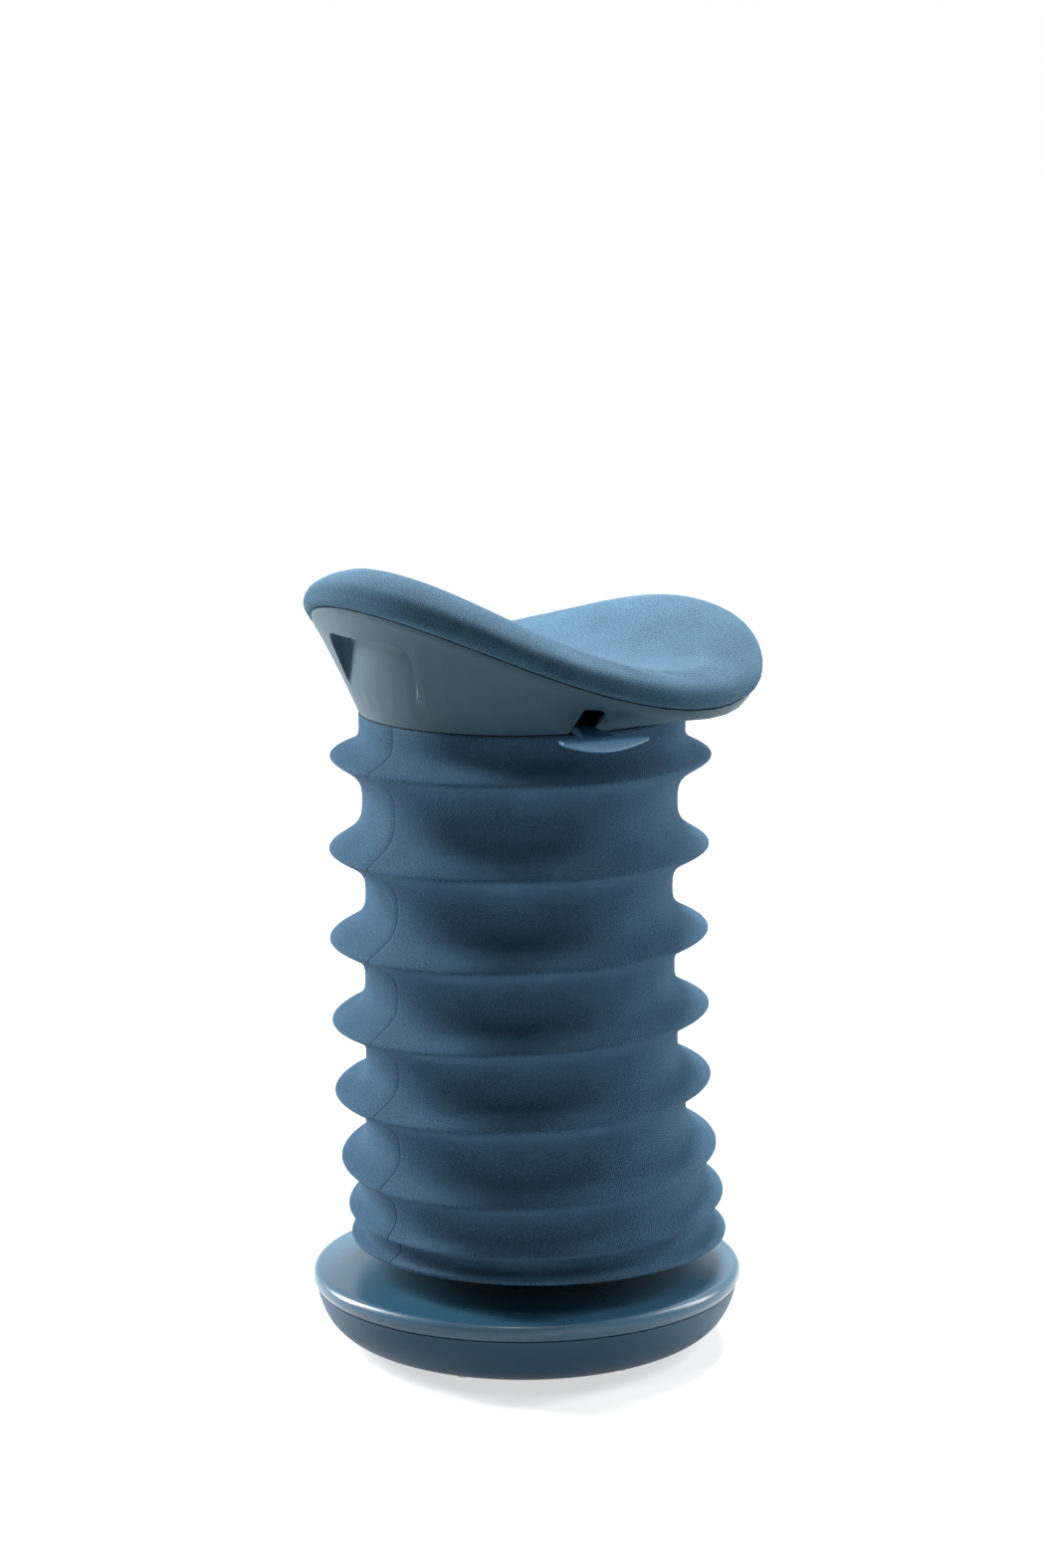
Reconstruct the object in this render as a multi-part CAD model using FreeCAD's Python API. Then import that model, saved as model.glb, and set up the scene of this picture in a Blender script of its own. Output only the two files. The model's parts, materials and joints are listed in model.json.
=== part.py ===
import FreeCAD, Part
import os
from math import cos, sin, tan, pi, radians, degrees, sqrt, hypot

# A wobble stool: a saddle seat on a gas-lift column inside a fabric bellows, on a round
# weighted base. The column leans in a two-axis swing joint inside the base, and a rubber
# block brings it upright again. A T-shaped lever under the seat frees the gas lift.
# Millimetres. The origin is on the floor under the column's axis and +Z is up. The sitter
# faces -Y, the grip is at +Y, and the lever comes out at the sitter's right, near -X.

V = FreeCAD.Vector
UP = V(0, 0, 1)

# Base: a bowl with a rubber pad under it and a low crowned cover on it
foot_radius = 122.4
foot_edge = 5.9
foot_lift = 0.6
bowl_height = 48.6
bowl_radius = 177.9
bowl_foot_curve = 20.9
bowl_wall_lean = 0.15
base_radius = 181.0
base_wall = 3.0
pad_thickness = 3.0
pad_gap = 0.5
floor_thickness = 3.5
cover_seam = 0.4
cover_rim_height = 6.0
cover_shoulder_height = 15.0
cover_shoulder_inset = 9.0
cover_crown = 6.0
lip_width = 3.0
lip_depth = 6.0
lip_gap = 0.3
lip_draft = 1.2

# Weight and swing joint inside the base
ballast_radius = 110.0
ballast_thickness = 11.5
bracket_plate = 3.0
bracket_wall = 7.0
bracket_rise = 8.0
ring_space = 7.0
buffer_height = 9.0
buffer_radius = 28.0
buffer_bore = 12.0
hub_radius = 30.0
hub_drop = 12.0
hub_rise = 24.0
ring_gap = 3.0
ring_wall = 10.0
ring_height = 12.0
pin_radius = 4.0
pin_bite = 10.0
pin_setback = 1.0
lean_limit = 5.0
lean_clearance = 2.6

# Column: steel tube, gas spring and its bearing, and how far the spring moves from here
lift_up = 90.0
lift_down = 110.0
tube_radius = 25.0
tube_wall = 2.5
tube_seat_depth = 16.0
tube_headroom = 8.7
cylinder_radius = 14.0
cylinder_wall = 1.5
cylinder_length = 308.0
cylinder_head = 28.0
cylinder_taper = 1.0
valve_block = 12.0
bush_length = 86.0
bush_flange = 3.0
running_gap = 0.05
fit_gap = 0.05
rod_radius = 5.0
rod_end = 1.0
rod_below = 3.5
piston_thickness = 12.0
piston_gap = 0.1
stroke_gap = 3.0
end_guide_length = 15.0
cap_thickness = 5.0
washer_thickness = 1.5
washer_bore_gap = 0.3
washer_radius = 11.0
ball_radius = 2.0
ball_play = 0.02
ball_count = 10
collar_radius = 8.0
collar_height = 4.0
clip_thickness = 1.5
clip_play = 0.2
clip_radius = 9.0
clip_pocket_radius = 12.0
clip_pocket_depth = 6.0

# Bellows: fabric over eight wire hoops. Each fold has its pitch to the edge above it, how
# far its waist above draws in, how far the hoop hangs off the axis, and its two tilts. Under
# the lowest hoop the fabric goes in flat to its hem.
fold_pitch = (36.9, 76.4, 73.7, 67.4, 60.2, 57.9, 41.8, 28.7)
waist_depth = (22.5, 27.0, 30.0, 28.5, 27.0, 23.0, 10.0, 6.0)
hoop_shift = (-1.4, -3.3, -4.0, -3.2, -1.8, 2.8, 8.4, 10.6)
hoop_side_tilt = (-0.3, 0.3, 1.2, 2.1, 2.1, 1.8, 1.8, 0.0)
hoop_view_tilt = (0.0, 0.0, 0.4, 0.0, 1.3, 3.5, 3.0, 0.0)
shift_direction = 234.0
hoop_radius = 158.0
fabric_thickness = 0.8
fabric_under_hoop = 0.4
low_fold_tuck = 1.0
hoop_wire = 2.0
hoop_inset = 4.3
fold_softness = 8.0
fold_power = 3.3
fold_steps = (0.12, 0.3, 0.6, 1.0)
hem_length = 14.0
bottom_hem_height = 6.0
bottom_ring_radius = 126.5
bottom_plate = 3.0
bottom_rim = 3.0
top_ring_radius = 134.0
top_ring_wall = 3.0
top_ring_height = 6.0
hem_gap = 0.3
collar_wall = 6.0
collar_length = 14.0
grub_count = 3
slip_width = 6.0
slip_thickness = 2.0
slip_gap = 0.2
slip_bore_gap = 0.3
lowest_fold_rise = 8.5

# Seat outline: radius of the seam at the rear, the sides and the front, and its height
# over the shell's neck. The skews move the widest and the lowest points forwards.
seat_rear_radius = 173.0
seat_side_radius = 193.1
seat_front_radius = 191.0
seat_radius_skew = 2.0
seat_corner = 1.4
rear_rise = 98.0
side_rise = 24.5
front_rise = 51.0
rise_skew = -3.4
neck_gap = 1.0
neck_radius = 135.0
shell_wall = 3.0
shell_lip_height = 9.0
shell_lip_inset = 4.5
shell_lip_bulge = 0.6
seam_gap = 1.2
seam_step = 1.0
sections = 48

# Cushion over a moulded pan
cushion_bulge = 6.3
bulge_height = 8.2
crest_inset = 31.6
crest_height = 27.2
seat_centre_rise = 46.0
cushion_flat = 30.0
cover_thickness = 1.5
tuck_gap = 0.6
foam_gap = 0.2
pan_centre_rise = 19.0
pan_thickness = 4.0
pan_flat = 48.0
pan_inset = 10.0

# Finger grip scooped into the rear of the shell
grip_half_angle = 20.5
grip_radius = 145.0
grip_bottom_rise = 6.0
grip_top_rise = 72.0
grip_corner = 12.0
grip_back_corner = 6.0

# Shell floor and the posts that hold the shell to the pan
shell_floor_rise = 4.0
shell_floor_bore = 98.0
post_radius = 6.0
post_circle = 108.0
post_count = 4
post_screw_bite = 8.0

# Seat plate with its socket for the gas spring, and the carrier of the bellows
plate_length = 90.0
plate_width = 70.0
plate_thickness = 3.0
plate_screw_x = 32.0
plate_screw_y = 28.0
plate_screw_bite = 2.5
cheek_gap = 14.0
cheek_wall = 2.5
cheek_margin = 6.0
lever_room = 11.0
socket_wall = 5.0
socket_depth = 29.0
socket_shelf = 1.0
carrier_arm_width = 14.0
carrier_arms = 4
carrier_rim_width = 10.0
carrier_plate = 3.0
carrier_web_height = 6.0
carrier_lip = 5.0
carrier_lip_wall = 3.0
carrier_hub_wall = 9.0
carrier_clip_height = 2.0
carrier_clip_width = 4.0
carrier_clip_inset = 0.8

# Height lever
lever_direction = 164.0
lever_pivot = 48.0
lever_pin_radius = 2.5
lever_pin_over = 1.0
lever_eye_radius = 4.5
lever_thickness = 4.0
lever_width = 8.0
lever_tail = 6.0
lever_bend = 62.0
lever_end = 150.0
stem_start = 122.0
stem_lift = 1.0
stem_width = 15.0
stem_flare = 32.0
stem_height = 7.0
stem_step = 0.8
bar_radius = 196.0
bar_length = 72.0
bar_depth = 12.0
bar_height = 10.8
bar_tip_height = 3.5
bar_sweep = 3.5
bar_edge = 2.0
bar_belly = 0.6
bar_drop = 5.0
bar_steps = 8
slot_width = 18.0
slot_reach = 176.0
button_radius = 4.0
button_gap = 0.3
button_rise = 6.0
button_length = 18.0

# Fasteners
screw_radius = 2.0
screw_head = 4.5
screw_head_height = 2.6
bolt_radius = 3.0
bolt_head = 5.0
bolt_head_height = 3.5
flat_head_height = 1.6
cover_screw_count = 6
cover_screw_circle = 130.0
cover_screw_length = 24.0
ballast_screw_count = 4
ballast_screw_circle = 90.0
ballast_floor = 3.0
bracket_screw_count = 4
thread_gap = 0.02
hole_gap = 0.2
head_gap = 0.3
blind_gap = 0.5
OVERCUT = 1.0

# Radii and heights that follow from the sizes above, counted out from the axis and up
# from the floor
recess_radius = foot_radius - foot_edge
pad_radius = recess_radius - pad_gap
ring_inner_radius = hub_radius + ring_gap
ring_outer_radius = ring_inner_radius + ring_wall
bracket_inner_radius = ring_outer_radius + ring_space
bracket_outer_radius = bracket_inner_radius + bracket_wall
bracket_screw_circle = (buffer_radius + bracket_inner_radius) / 2
ball_circle = (rod_radius + washer_radius) / 2
slip_inner = top_ring_radius - 2 * top_ring_wall - slip_width
floor_top = pad_thickness + floor_thickness
ballast_top = floor_top + ballast_thickness
plate_top = ballast_top + bracket_plate
hub_bottom = plate_top + buffer_height
pivot_z = hub_bottom + hub_drop
hub_top = pivot_z + hub_rise
cover_bottom = bowl_height + cover_seam
shoulder_z = cover_bottom + cover_shoulder_height
shoulder_radius = base_radius - cover_shoulder_inset
cover_top = shoulder_z + cover_crown
lean_both = radians(lean_limit) * sqrt(2)
opening_radius = hub_radius + (cover_top - pivot_z) * tan(lean_both) + lean_clearance
tube_bottom = hub_top - tube_seat_depth


def cover_height(radius):
    """Height of the cover's crowned top at a radius."""
    share = (shoulder_radius - radius) / (shoulder_radius - opening_radius)
    return shoulder_z + cover_crown * share


bottom_plate_z = cover_height(bottom_ring_radius) + bottom_ring_radius * sin(lean_both) + lean_clearance
lowest_fold_z = bottom_plate_z + lowest_fold_rise
bellows_top = lowest_fold_z + sum(fold_pitch)
neck_z = bellows_top + neck_gap
seat_centre_z = neck_z + seat_centre_rise
pan_centre_z = neck_z + pan_centre_rise
seat_plate_top = pan_centre_z - pan_thickness
cheek_top = seat_plate_top - plate_thickness
socket_top = cheek_top - lever_room
lower_plate_z = socket_top - plate_thickness
socket_bottom = socket_top - socket_depth
cylinder_top = socket_top - socket_shelf
cylinder_bottom = cylinder_top - cylinder_length
head_z = cylinder_top - cylinder_head
tube_top = socket_bottom - lift_down - bush_flange - tube_headroom
rod_top = (cylinder_bottom + end_guide_length + lift_up + stroke_gap
           + piston_thickness + rod_end)
top_ring_bottom = bellows_top - top_ring_height
slip_bottom = top_ring_bottom - slip_thickness
carrier_top = slip_bottom - slip_gap
carrier_bottom = carrier_top - carrier_plate
shell_floor_z = neck_z + shell_floor_rise
post_low = shell_floor_z + shell_wall
button_top = cylinder_top + button_rise
lever_z = button_top + button_gap + lever_thickness / 2
lever_pin_z = (socket_top + cheek_top) / 2


def at(radius, angle, z):
    """Point at a radius, a compass angle in degrees from +X and a height."""
    return V(radius * cos(radians(angle)), radius * sin(radians(angle)), z)


def ring_of(radius, count, first=0.0):
    """Evenly spaced places on a circle about the axis."""
    return [at(radius, first + 360.0 * i / count, 0) for i in range(count)]


def cylinder(radius, low, high, centre=None):
    place = centre or V(0, 0, 0)
    return Part.makeCylinder(radius, high - low, V(place.x, place.y, low), UP)


def tube(inner, outer, low, high, centre=None):
    return cylinder(outer, low, high, centre).cut(cylinder(inner, low - OVERCUT, high + OVERCUT, centre))


def block(x0, x1, y0, y1, z0, z1):
    return Part.makeBox(x1 - x0, y1 - y0, z1 - z0, V(x0, y0, z0))


def spoke(radius, start, end, angle, z):
    """Round bar that lies along a radius, from one distance off the axis to another."""
    return Part.makeCylinder(radius, end - start, at(start, angle, z), at(1, angle, 0))


def turned(shape, angle):
    """Copy of a shape turned about the column's axis."""
    copy = shape.copy()
    copy.rotate(V(0, 0, 0), UP, angle)
    return copy


def drilled(shape, spots, radius, low, high):
    """A shape with an upright hole at each spot."""
    for spot in spots:
        shape = shape.cut(cylinder(radius, low, high, spot))
    return shape


def screw(radius, head, head_height, low, high, centre):
    """Screw that points up: its head below, its shank above."""
    return cylinder(head, low, low + head_height, centre).fuse(
        cylinder(radius, low + head_height, high, centre))


def revolved(edges):
    """Solid of revolution from a closed profile in the XZ plane."""
    return Part.Face(Part.Wire(edges)).revolve(V(0, 0, 0), UP, 360)


def lines(points, y=0.0):
    """Straight edges through (x, z) points."""
    spots = [V(x, y, z) for x, z in points]
    return [Part.makeLine(a, b) for a, b in zip(spots, spots[1:])]


def bezier(points, y=0.0):
    """Smooth edge whose handles are (x, z) points."""
    curve = Part.BezierCurve()
    curve.setPoles([V(x, y, z) for x, z in points])
    return curve.toShape()


def prism(corners, way):
    """Straight solid on a closed outline of corners."""
    return Part.Face(Part.makePolygon(corners + corners[:1])).extrude(way)


def polar_loft(profile):
    """Ring lofted through one closed profile, which the function gives at each angle."""
    wires = [Part.Wire(profile(2 * pi * i / sections)) for i in range(sections)]
    return Part.makeLoft(wires, True, True, True)


def seat_point(angle, point):
    """Point of a seat profile; the angle is counted from the rear, +Y."""
    turn = pi / 2 + angle
    return V(point[0] * cos(turn), point[0] * sin(turn), point[1])


def seat_edges(angle, curved, straight):
    """Arcs through each three curved points, then straight lines back to the start."""
    spots = [seat_point(angle, p) for p in curved]
    edges = [Part.Arc(*spots[i:i + 3]).toShape() for i in range(0, len(spots) - 2, 2)]
    corners = [spots[-1]] + [seat_point(angle, p) for p in straight] + [spots[0]]
    return edges + [Part.makeLine(a, b) for a, b in zip(corners, corners[1:])]


def rim_radius(angle):
    oval = ((seat_rear_radius + seat_front_radius) / 2 - seat_side_radius) / 2
    mean = (seat_rear_radius + seat_front_radius) / 2 - oval - seat_corner
    shift = (seat_rear_radius - seat_front_radius) / 2 - seat_radius_skew
    return (mean + shift * cos(angle) + oval * cos(2 * angle)
            + seat_radius_skew * cos(3 * angle) + seat_corner * cos(4 * angle))


def rim_z(angle):
    saddle = ((rear_rise + front_rise) / 2 - side_rise) / 2
    mean = (rear_rise + front_rise) / 2 - saddle
    shift = (rear_rise - front_rise) / 2 - rise_skew
    return (neck_z + mean + shift * cos(angle) + saddle * cos(2 * angle)
            + rise_skew * cos(3 * angle))


def ease(share):
    return share * share * (3 - 2 * share)


def dish(start, end, steps):
    """Points that rise smoothly from a flat middle to an edge, flat again at the edge."""
    return [(start[0] + (end[0] - start[0]) * i / steps,
             start[1] + (end[1] - start[1]) * ease(i / steps)) for i in range(steps + 1)]


def cushion_profile(angle, skin, steps=4):
    """Top and side of the cushion, drawn in by a skin thickness, from the middle to the seam."""
    radius = rim_radius(angle)
    seam = rim_z(angle)
    crest = (radius - crest_inset, seam + crest_height - skin)
    points = dish((cushion_flat, seat_centre_z - skin), crest, steps)
    nose_reach = crest_inset + cushion_bulge - skin
    nose_rise = crest_height - bulge_height - skin
    for i in range(1, steps + 1):
        turn = pi / 2 * i / steps
        points.append((crest[0] + nose_reach * sin(turn), seam + bulge_height + nose_rise * cos(turn)))
    for turn in (pi / 4, pi / 2):
        points.append((radius + (cushion_bulge - skin) * cos(turn),
                       seam + bulge_height - (bulge_height - skin) * sin(turn)))
    return points


def pan_edge(angle):
    return (rim_radius(angle) - pan_inset, rim_z(angle) + cover_thickness)


def pan_curve(angle, lift=0.0, steps=4):
    """Top of the pan, raised by a lift, from its flat middle to its edge."""
    edge = pan_edge(angle)
    return dish((pan_flat, pan_centre_z + lift), (edge[0], edge[1] + lift), steps)


def flat_middle(radius, low, high):
    """Prism with as many sides as the lofts have sections, which fills their open middle."""
    corners = [seat_point(2 * pi * i / sections, (radius, low)) for i in range(sections)]
    return prism(corners, V(0, 0, high - low))


def cushion_solid(skin, low_points):
    """Whole cushion down to a set of low points, with its flat middle closed."""
    rim = polar_loft(lambda a: seat_edges(a, cushion_profile(a, skin), low_points(a)))
    middle = low_points(0)[-1]
    return rim.fuse(flat_middle(cushion_flat, middle[1], seat_centre_z - skin))


nodes = {}
cover_screw_spots = ring_of(cover_screw_circle, cover_screw_count)
ballast_screw_spots = ring_of(ballast_screw_circle, ballast_screw_count, 45)
bracket_screw_spots = ring_of(bracket_screw_circle, bracket_screw_count, 45)
post_spots = ring_of(post_circle, post_count, 45)
plate_screw_spots = [V(x, y, 0) for x in (-plate_screw_x, plate_screw_x)
                     for y in (-plate_screw_y, plate_screw_y)]


# Base bowl: moulded shell with a recess for the pad below and screw holes in its floor
def bowl_curve(inset):
    low = (foot_radius - inset / 2, foot_lift + inset)
    high = (bowl_radius - inset, bowl_height)
    rise = high[1] - low[1]
    return [high, (high[0] - bowl_wall_lean * rise, high[1] - (1 - bowl_wall_lean) * rise),
            (low[0] + bowl_foot_curve, low[1] + rise / 10), low]


outer = bowl_curve(0)
inner = bowl_curve(base_wall)
bowl_outside = [bezier(outer[::-1])]
bowl = revolved(
    lines([(0, pad_thickness), (recess_radius, pad_thickness), (recess_radius, foot_lift), outer[-1]])
    + bowl_outside
    + lines([outer[0], inner[0]])
    + [bezier(inner)]
    + lines([inner[-1], (pad_radius, floor_top), (0, floor_top), (0, pad_thickness)]))
bowl_block = revolved(lines([(0, foot_lift), outer[-1]]) + bowl_outside
                      + lines([outer[0], (0, bowl_height), (0, foot_lift)]))
boss_top = floor_top + base_wall / 2
for spot in cover_screw_spots:
    boss = cylinder(post_radius, foot_lift + base_wall / 2, boss_top, spot)
    bowl = bowl.fuse(boss.common(bowl_block))
head_low = 2 * foot_lift
bowl = drilled(bowl, cover_screw_spots, screw_radius + hole_gap, 0, boss_top + OVERCUT)
bowl = drilled(bowl, cover_screw_spots, screw_head + head_gap, 0, head_low + screw_head_height)
bowl = drilled(bowl, ballast_screw_spots, bolt_radius + hole_gap, 0, floor_top + OVERCUT)
bowl = drilled(bowl, ballast_screw_spots, bolt_head + head_gap, 0, pad_thickness + flat_head_height)
nodes["base_bowl"] = bowl

nodes["floor_pad"] = cylinder(pad_radius, 0, pad_thickness)

# Base cover: crowned shell with a round shoulder, an opening for the column, a locating lip
# and a pillar for each screw
rim_top_z = cover_bottom + cover_rim_height
under = shoulder_z - base_wall
inside_radius = base_radius - base_wall
cover = revolved(
    lines([(bowl_radius, cover_bottom), (base_radius, rim_top_z)])
    + [bezier([(base_radius, rim_top_z), (base_radius, shoulder_z), (shoulder_radius, shoulder_z)])]
    + lines([(shoulder_radius, shoulder_z), (opening_radius, cover_top),
             (opening_radius, cover_top - base_wall), (shoulder_radius, under)])
    + [bezier([(shoulder_radius, under), (inside_radius, under), (inside_radius, rim_top_z)])]
    + lines([(inside_radius, rim_top_z), (bowl_radius - base_wall, cover_bottom),
             (bowl_radius, cover_bottom)]))
lip_outer = bowl_radius - base_wall - lip_gap - lip_draft
lip_top = cover_bottom + base_wall
cover = cover.fuse(tube(lip_outer - lip_width, lip_outer, cover_bottom - lip_depth, lip_top))
cover = cover.fuse(tube(lip_outer - lip_width, bowl_radius - base_wall + lip_draft, cover_bottom, lip_top))
pillar_top = cover_height(cover_screw_circle) - base_wall / 2
cover = cover.fuse([cylinder(post_radius, boss_top + fit_gap, pillar_top, spot)
                    for spot in cover_screw_spots])
cover = drilled(cover, cover_screw_spots, screw_radius + thread_gap,
                0, head_low + cover_screw_length + blind_gap)
nodes["base_cover"] = cover
nodes["cover_screws"] = [
    screw(screw_radius, screw_head, screw_head_height, head_low, head_low + cover_screw_length, spot)
    for spot in cover_screw_spots]

# Ballast plate, the bracket on it, and their screws
ballast = cylinder(ballast_radius, floor_top, ballast_top)
ballast_screw_top = ballast_top - ballast_floor
ballast = drilled(ballast, ballast_screw_spots, bolt_radius + thread_gap,
                  0, ballast_screw_top + blind_gap)
bracket_screw_low = floor_top + ballast_floor
ballast = drilled(ballast, bracket_screw_spots, bolt_radius + thread_gap,
                  bracket_screw_low - blind_gap, ballast_top + OVERCUT)
nodes["ballast_plate"] = ballast
nodes["ballast_screws"] = [
    screw(bolt_radius, bolt_head, flat_head_height, pad_thickness, ballast_screw_top, spot)
    for spot in ballast_screw_spots]

bracket = cylinder(bracket_outer_radius, ballast_top, plate_top)
bracket = bracket.fuse(
    tube(bracket_inner_radius, bracket_outer_radius, ballast_top, pivot_z + bracket_rise))
bracket = drilled(bracket, bracket_screw_spots, bolt_radius + hole_gap, 0, plate_top + OVERCUT)
nodes["bracket_screws"] = [
    cylinder(bolt_radius, bracket_screw_low, plate_top, spot).fuse(
        cylinder(bolt_head, plate_top, plate_top + bolt_head_height, spot))
    for spot in bracket_screw_spots]

# Rubber block that centres the column
nodes["swing_buffer"] = tube(buffer_bore, buffer_radius, plate_top, hub_bottom)

# Swing ring between the bracket and the hub; each pair of pins is pressed into the outer of
# the two pieces that it joins and runs in the inner one
ring = tube(ring_inner_radius, ring_outer_radius, pivot_z - ring_height / 2, pivot_z + ring_height / 2)
hub = cylinder(hub_radius, hub_bottom, hub_top)
hub = hub.cut(cylinder(tube_radius + fit_gap, tube_bottom, hub_top + OVERCUT))
hub = hub.cut(cylinder(clip_pocket_radius, tube_bottom - clip_pocket_depth, tube_bottom + OVERCUT))
running_radius = pin_radius + running_gap
base_pins = []
hub_pins = []
for side in (0, 180):
    start = ring_inner_radius + pin_setback
    base_pins.append(spoke(pin_radius, start, bracket_outer_radius, side, pivot_z))
    bracket = bracket.cut(spoke(pin_radius, start, bracket_outer_radius + OVERCUT, side, pivot_z))
    ring = ring.cut(spoke(running_radius, start - 2 * pin_setback, ring_outer_radius + OVERCUT,
                          side, pivot_z))
for side in (90, 270):
    start = hub_radius - pin_bite
    hub_pins.append(spoke(pin_radius, start, ring_outer_radius, side, pivot_z))
    ring = ring.cut(spoke(pin_radius, start, ring_outer_radius + OVERCUT, side, pivot_z))
    hub = hub.cut(spoke(running_radius, start - blind_gap, hub_radius + OVERCUT, side, pivot_z))
nodes["swing_bracket"] = bracket
nodes["swing_ring"] = ring
nodes["base_swing_pins"] = base_pins
nodes["swing_hub"] = hub
nodes["hub_swing_pins"] = hub_pins

# Column tube with its end cap, and the guide bush in its mouth
tube_bore = tube_radius - tube_wall
guide_bore = cylinder_radius + running_gap
nodes["column_tube"] = tube(tube_bore, tube_radius, tube_bottom, tube_top)
cap_top = tube_bottom + cap_thickness
nodes["tube_end_cap"] = tube(rod_radius + fit_gap, tube_bore - fit_gap, tube_bottom, cap_top)
nodes["guide_bush"] = tube(guide_bore, tube_bore - fit_gap, tube_top - bush_length, tube_top).fuse(
    tube(guide_bore, tube_radius, tube_top, tube_top + bush_flange))

# Thrust bearing on the cap, with the rod's collar on it
washer = tube(rod_radius + washer_bore_gap, washer_radius, cap_top, cap_top + washer_thickness)
ball_space = 2 * ball_radius
nodes["thrust_washers"] = [washer, washer.translated(V(0, 0, washer_thickness + ball_space))]
balls_z = cap_top + washer_thickness + ball_radius
nodes["thrust_balls"] = [
    Part.makeSphere(ball_radius - ball_play, spot + UP * balls_z)
    for spot in ring_of(ball_circle, ball_count)]
collar_z = cap_top + 2 * washer_thickness + ball_space
nodes["piston_rod"] = cylinder(rod_radius, tube_bottom - rod_below, rod_top).fuse(
    cylinder(collar_radius, collar_z, collar_z + collar_height))
clip_top = tube_bottom - clip_play
nodes["rod_clip"] = tube(rod_radius, clip_radius, clip_top - clip_thickness, clip_top)
spring_bore = cylinder_radius - cylinder_wall
piston_top = rod_top - rod_end
nodes["piston"] = tube(rod_radius, spring_bore - piston_gap, piston_top - piston_thickness, piston_top)

# Gas cylinder: pressure tube with a tapered head that holds the valve
pressure = tube(spring_bore, cylinder_radius, cylinder_bottom, head_z)
head = cylinder(cylinder_radius, head_z - valve_block, head_z).fuse(
    Part.makeCone(cylinder_radius, cylinder_radius - cylinder_taper, cylinder_head, V(0, 0, head_z), UP))
button_bottom = button_top - button_length
valve_bore = cylinder(button_radius + running_gap, button_bottom - button_rise, cylinder_top + OVERCUT)
nodes["gas_cylinder"] = pressure.fuse(head).cut(valve_bore)
nodes["cylinder_end_guide"] = tube(rod_radius + running_gap, spring_bore - fit_gap,
                                   cylinder_bottom, cylinder_bottom + end_guide_length)
nodes["valve_button"] = cylinder(button_radius, button_bottom, button_top)

# Bottom ring of the bellows: a flat plate clamped round the column tube
clamp_bore = tube_radius + fit_gap
clamp_radius = tube_radius + collar_wall
bottom_ring = tube(clamp_bore, clamp_radius, bottom_plate_z, bottom_plate_z + collar_length)
bottom_ring = bottom_ring.fuse(
    tube(clamp_bore, bottom_ring_radius, bottom_plate_z, bottom_plate_z + bottom_plate))
bottom_ring = bottom_ring.fuse(
    tube(bottom_ring_radius - bottom_rim, bottom_ring_radius,
         bottom_plate_z, bottom_plate_z + bottom_hem_height))
grub_z = bottom_plate_z + bottom_plate + (collar_length - bottom_plate) / 2
grubs = []
for i in range(grub_count):
    side = 30 + 360.0 * i / grub_count
    grubs.append(spoke(bolt_radius, clamp_bore, clamp_radius, side, grub_z))
    bottom_ring = bottom_ring.cut(
        spoke(bolt_radius + thread_gap, tube_radius - OVERCUT, clamp_radius + OVERCUT, side, grub_z))
nodes["bellows_bottom_ring"] = bottom_ring
nodes["bottom_ring_screws"] = grubs

# Top ring of the bellows and the ring it slips on
nodes["bellows_top_ring"] = tube(slip_inner, top_ring_radius, top_ring_bottom, bellows_top).fuse(
    tube(top_ring_radius - top_ring_wall, top_ring_radius, bellows_top - hem_length, bellows_top))
nodes["slip_ring"] = tube(slip_inner, slip_inner + slip_width, slip_bottom, top_ring_bottom)

# Bellows fabric: circles from fold to fold, each hoop hanging a little off the axis and tilted
hoop_z = [bellows_top - sum(fold_pitch[:i + 1]) for i in range(len(fold_pitch))]
shift_way = at(1, shift_direction, 0)
view_way = at(1, shift_direction - 90, 0)


def hang(index):
    """Place of a hoop: its centre and its normal."""
    centre = shift_way * hoop_shift[index] + UP * hoop_z[index]
    normal = (UP - shift_way * tan(radians(hoop_side_tilt[index]))
              + view_way * tan(radians(hoop_view_tilt[index])))
    return centre, normal.normalize()


def between(a, b, share):
    return a + (b - a) * share


def circle(centre, normal, radius):
    """Circle whose start lies the same way on every level, so the folds don't twist."""
    turn = FreeCAD.Rotation(V(0, 1, 0).cross(normal), V(0, 1, 0), normal, "ZXY")
    edge = Part.Circle(V(0, 0, 0), UP, radius).toShape()
    edge.Placement = FreeCAD.Placement(centre, turn)
    return Part.Wire(edge)


def draw_in(share, half_pitch, depth):
    """How far the fabric draws in at a share of the way from a hoop to the waist."""
    def soft(reach):
        return sqrt(reach * reach + fold_softness ** 2) - fold_softness
    return depth * (1 - (1 - soft(share * half_pitch) / soft(half_pitch)) ** fold_power)


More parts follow.
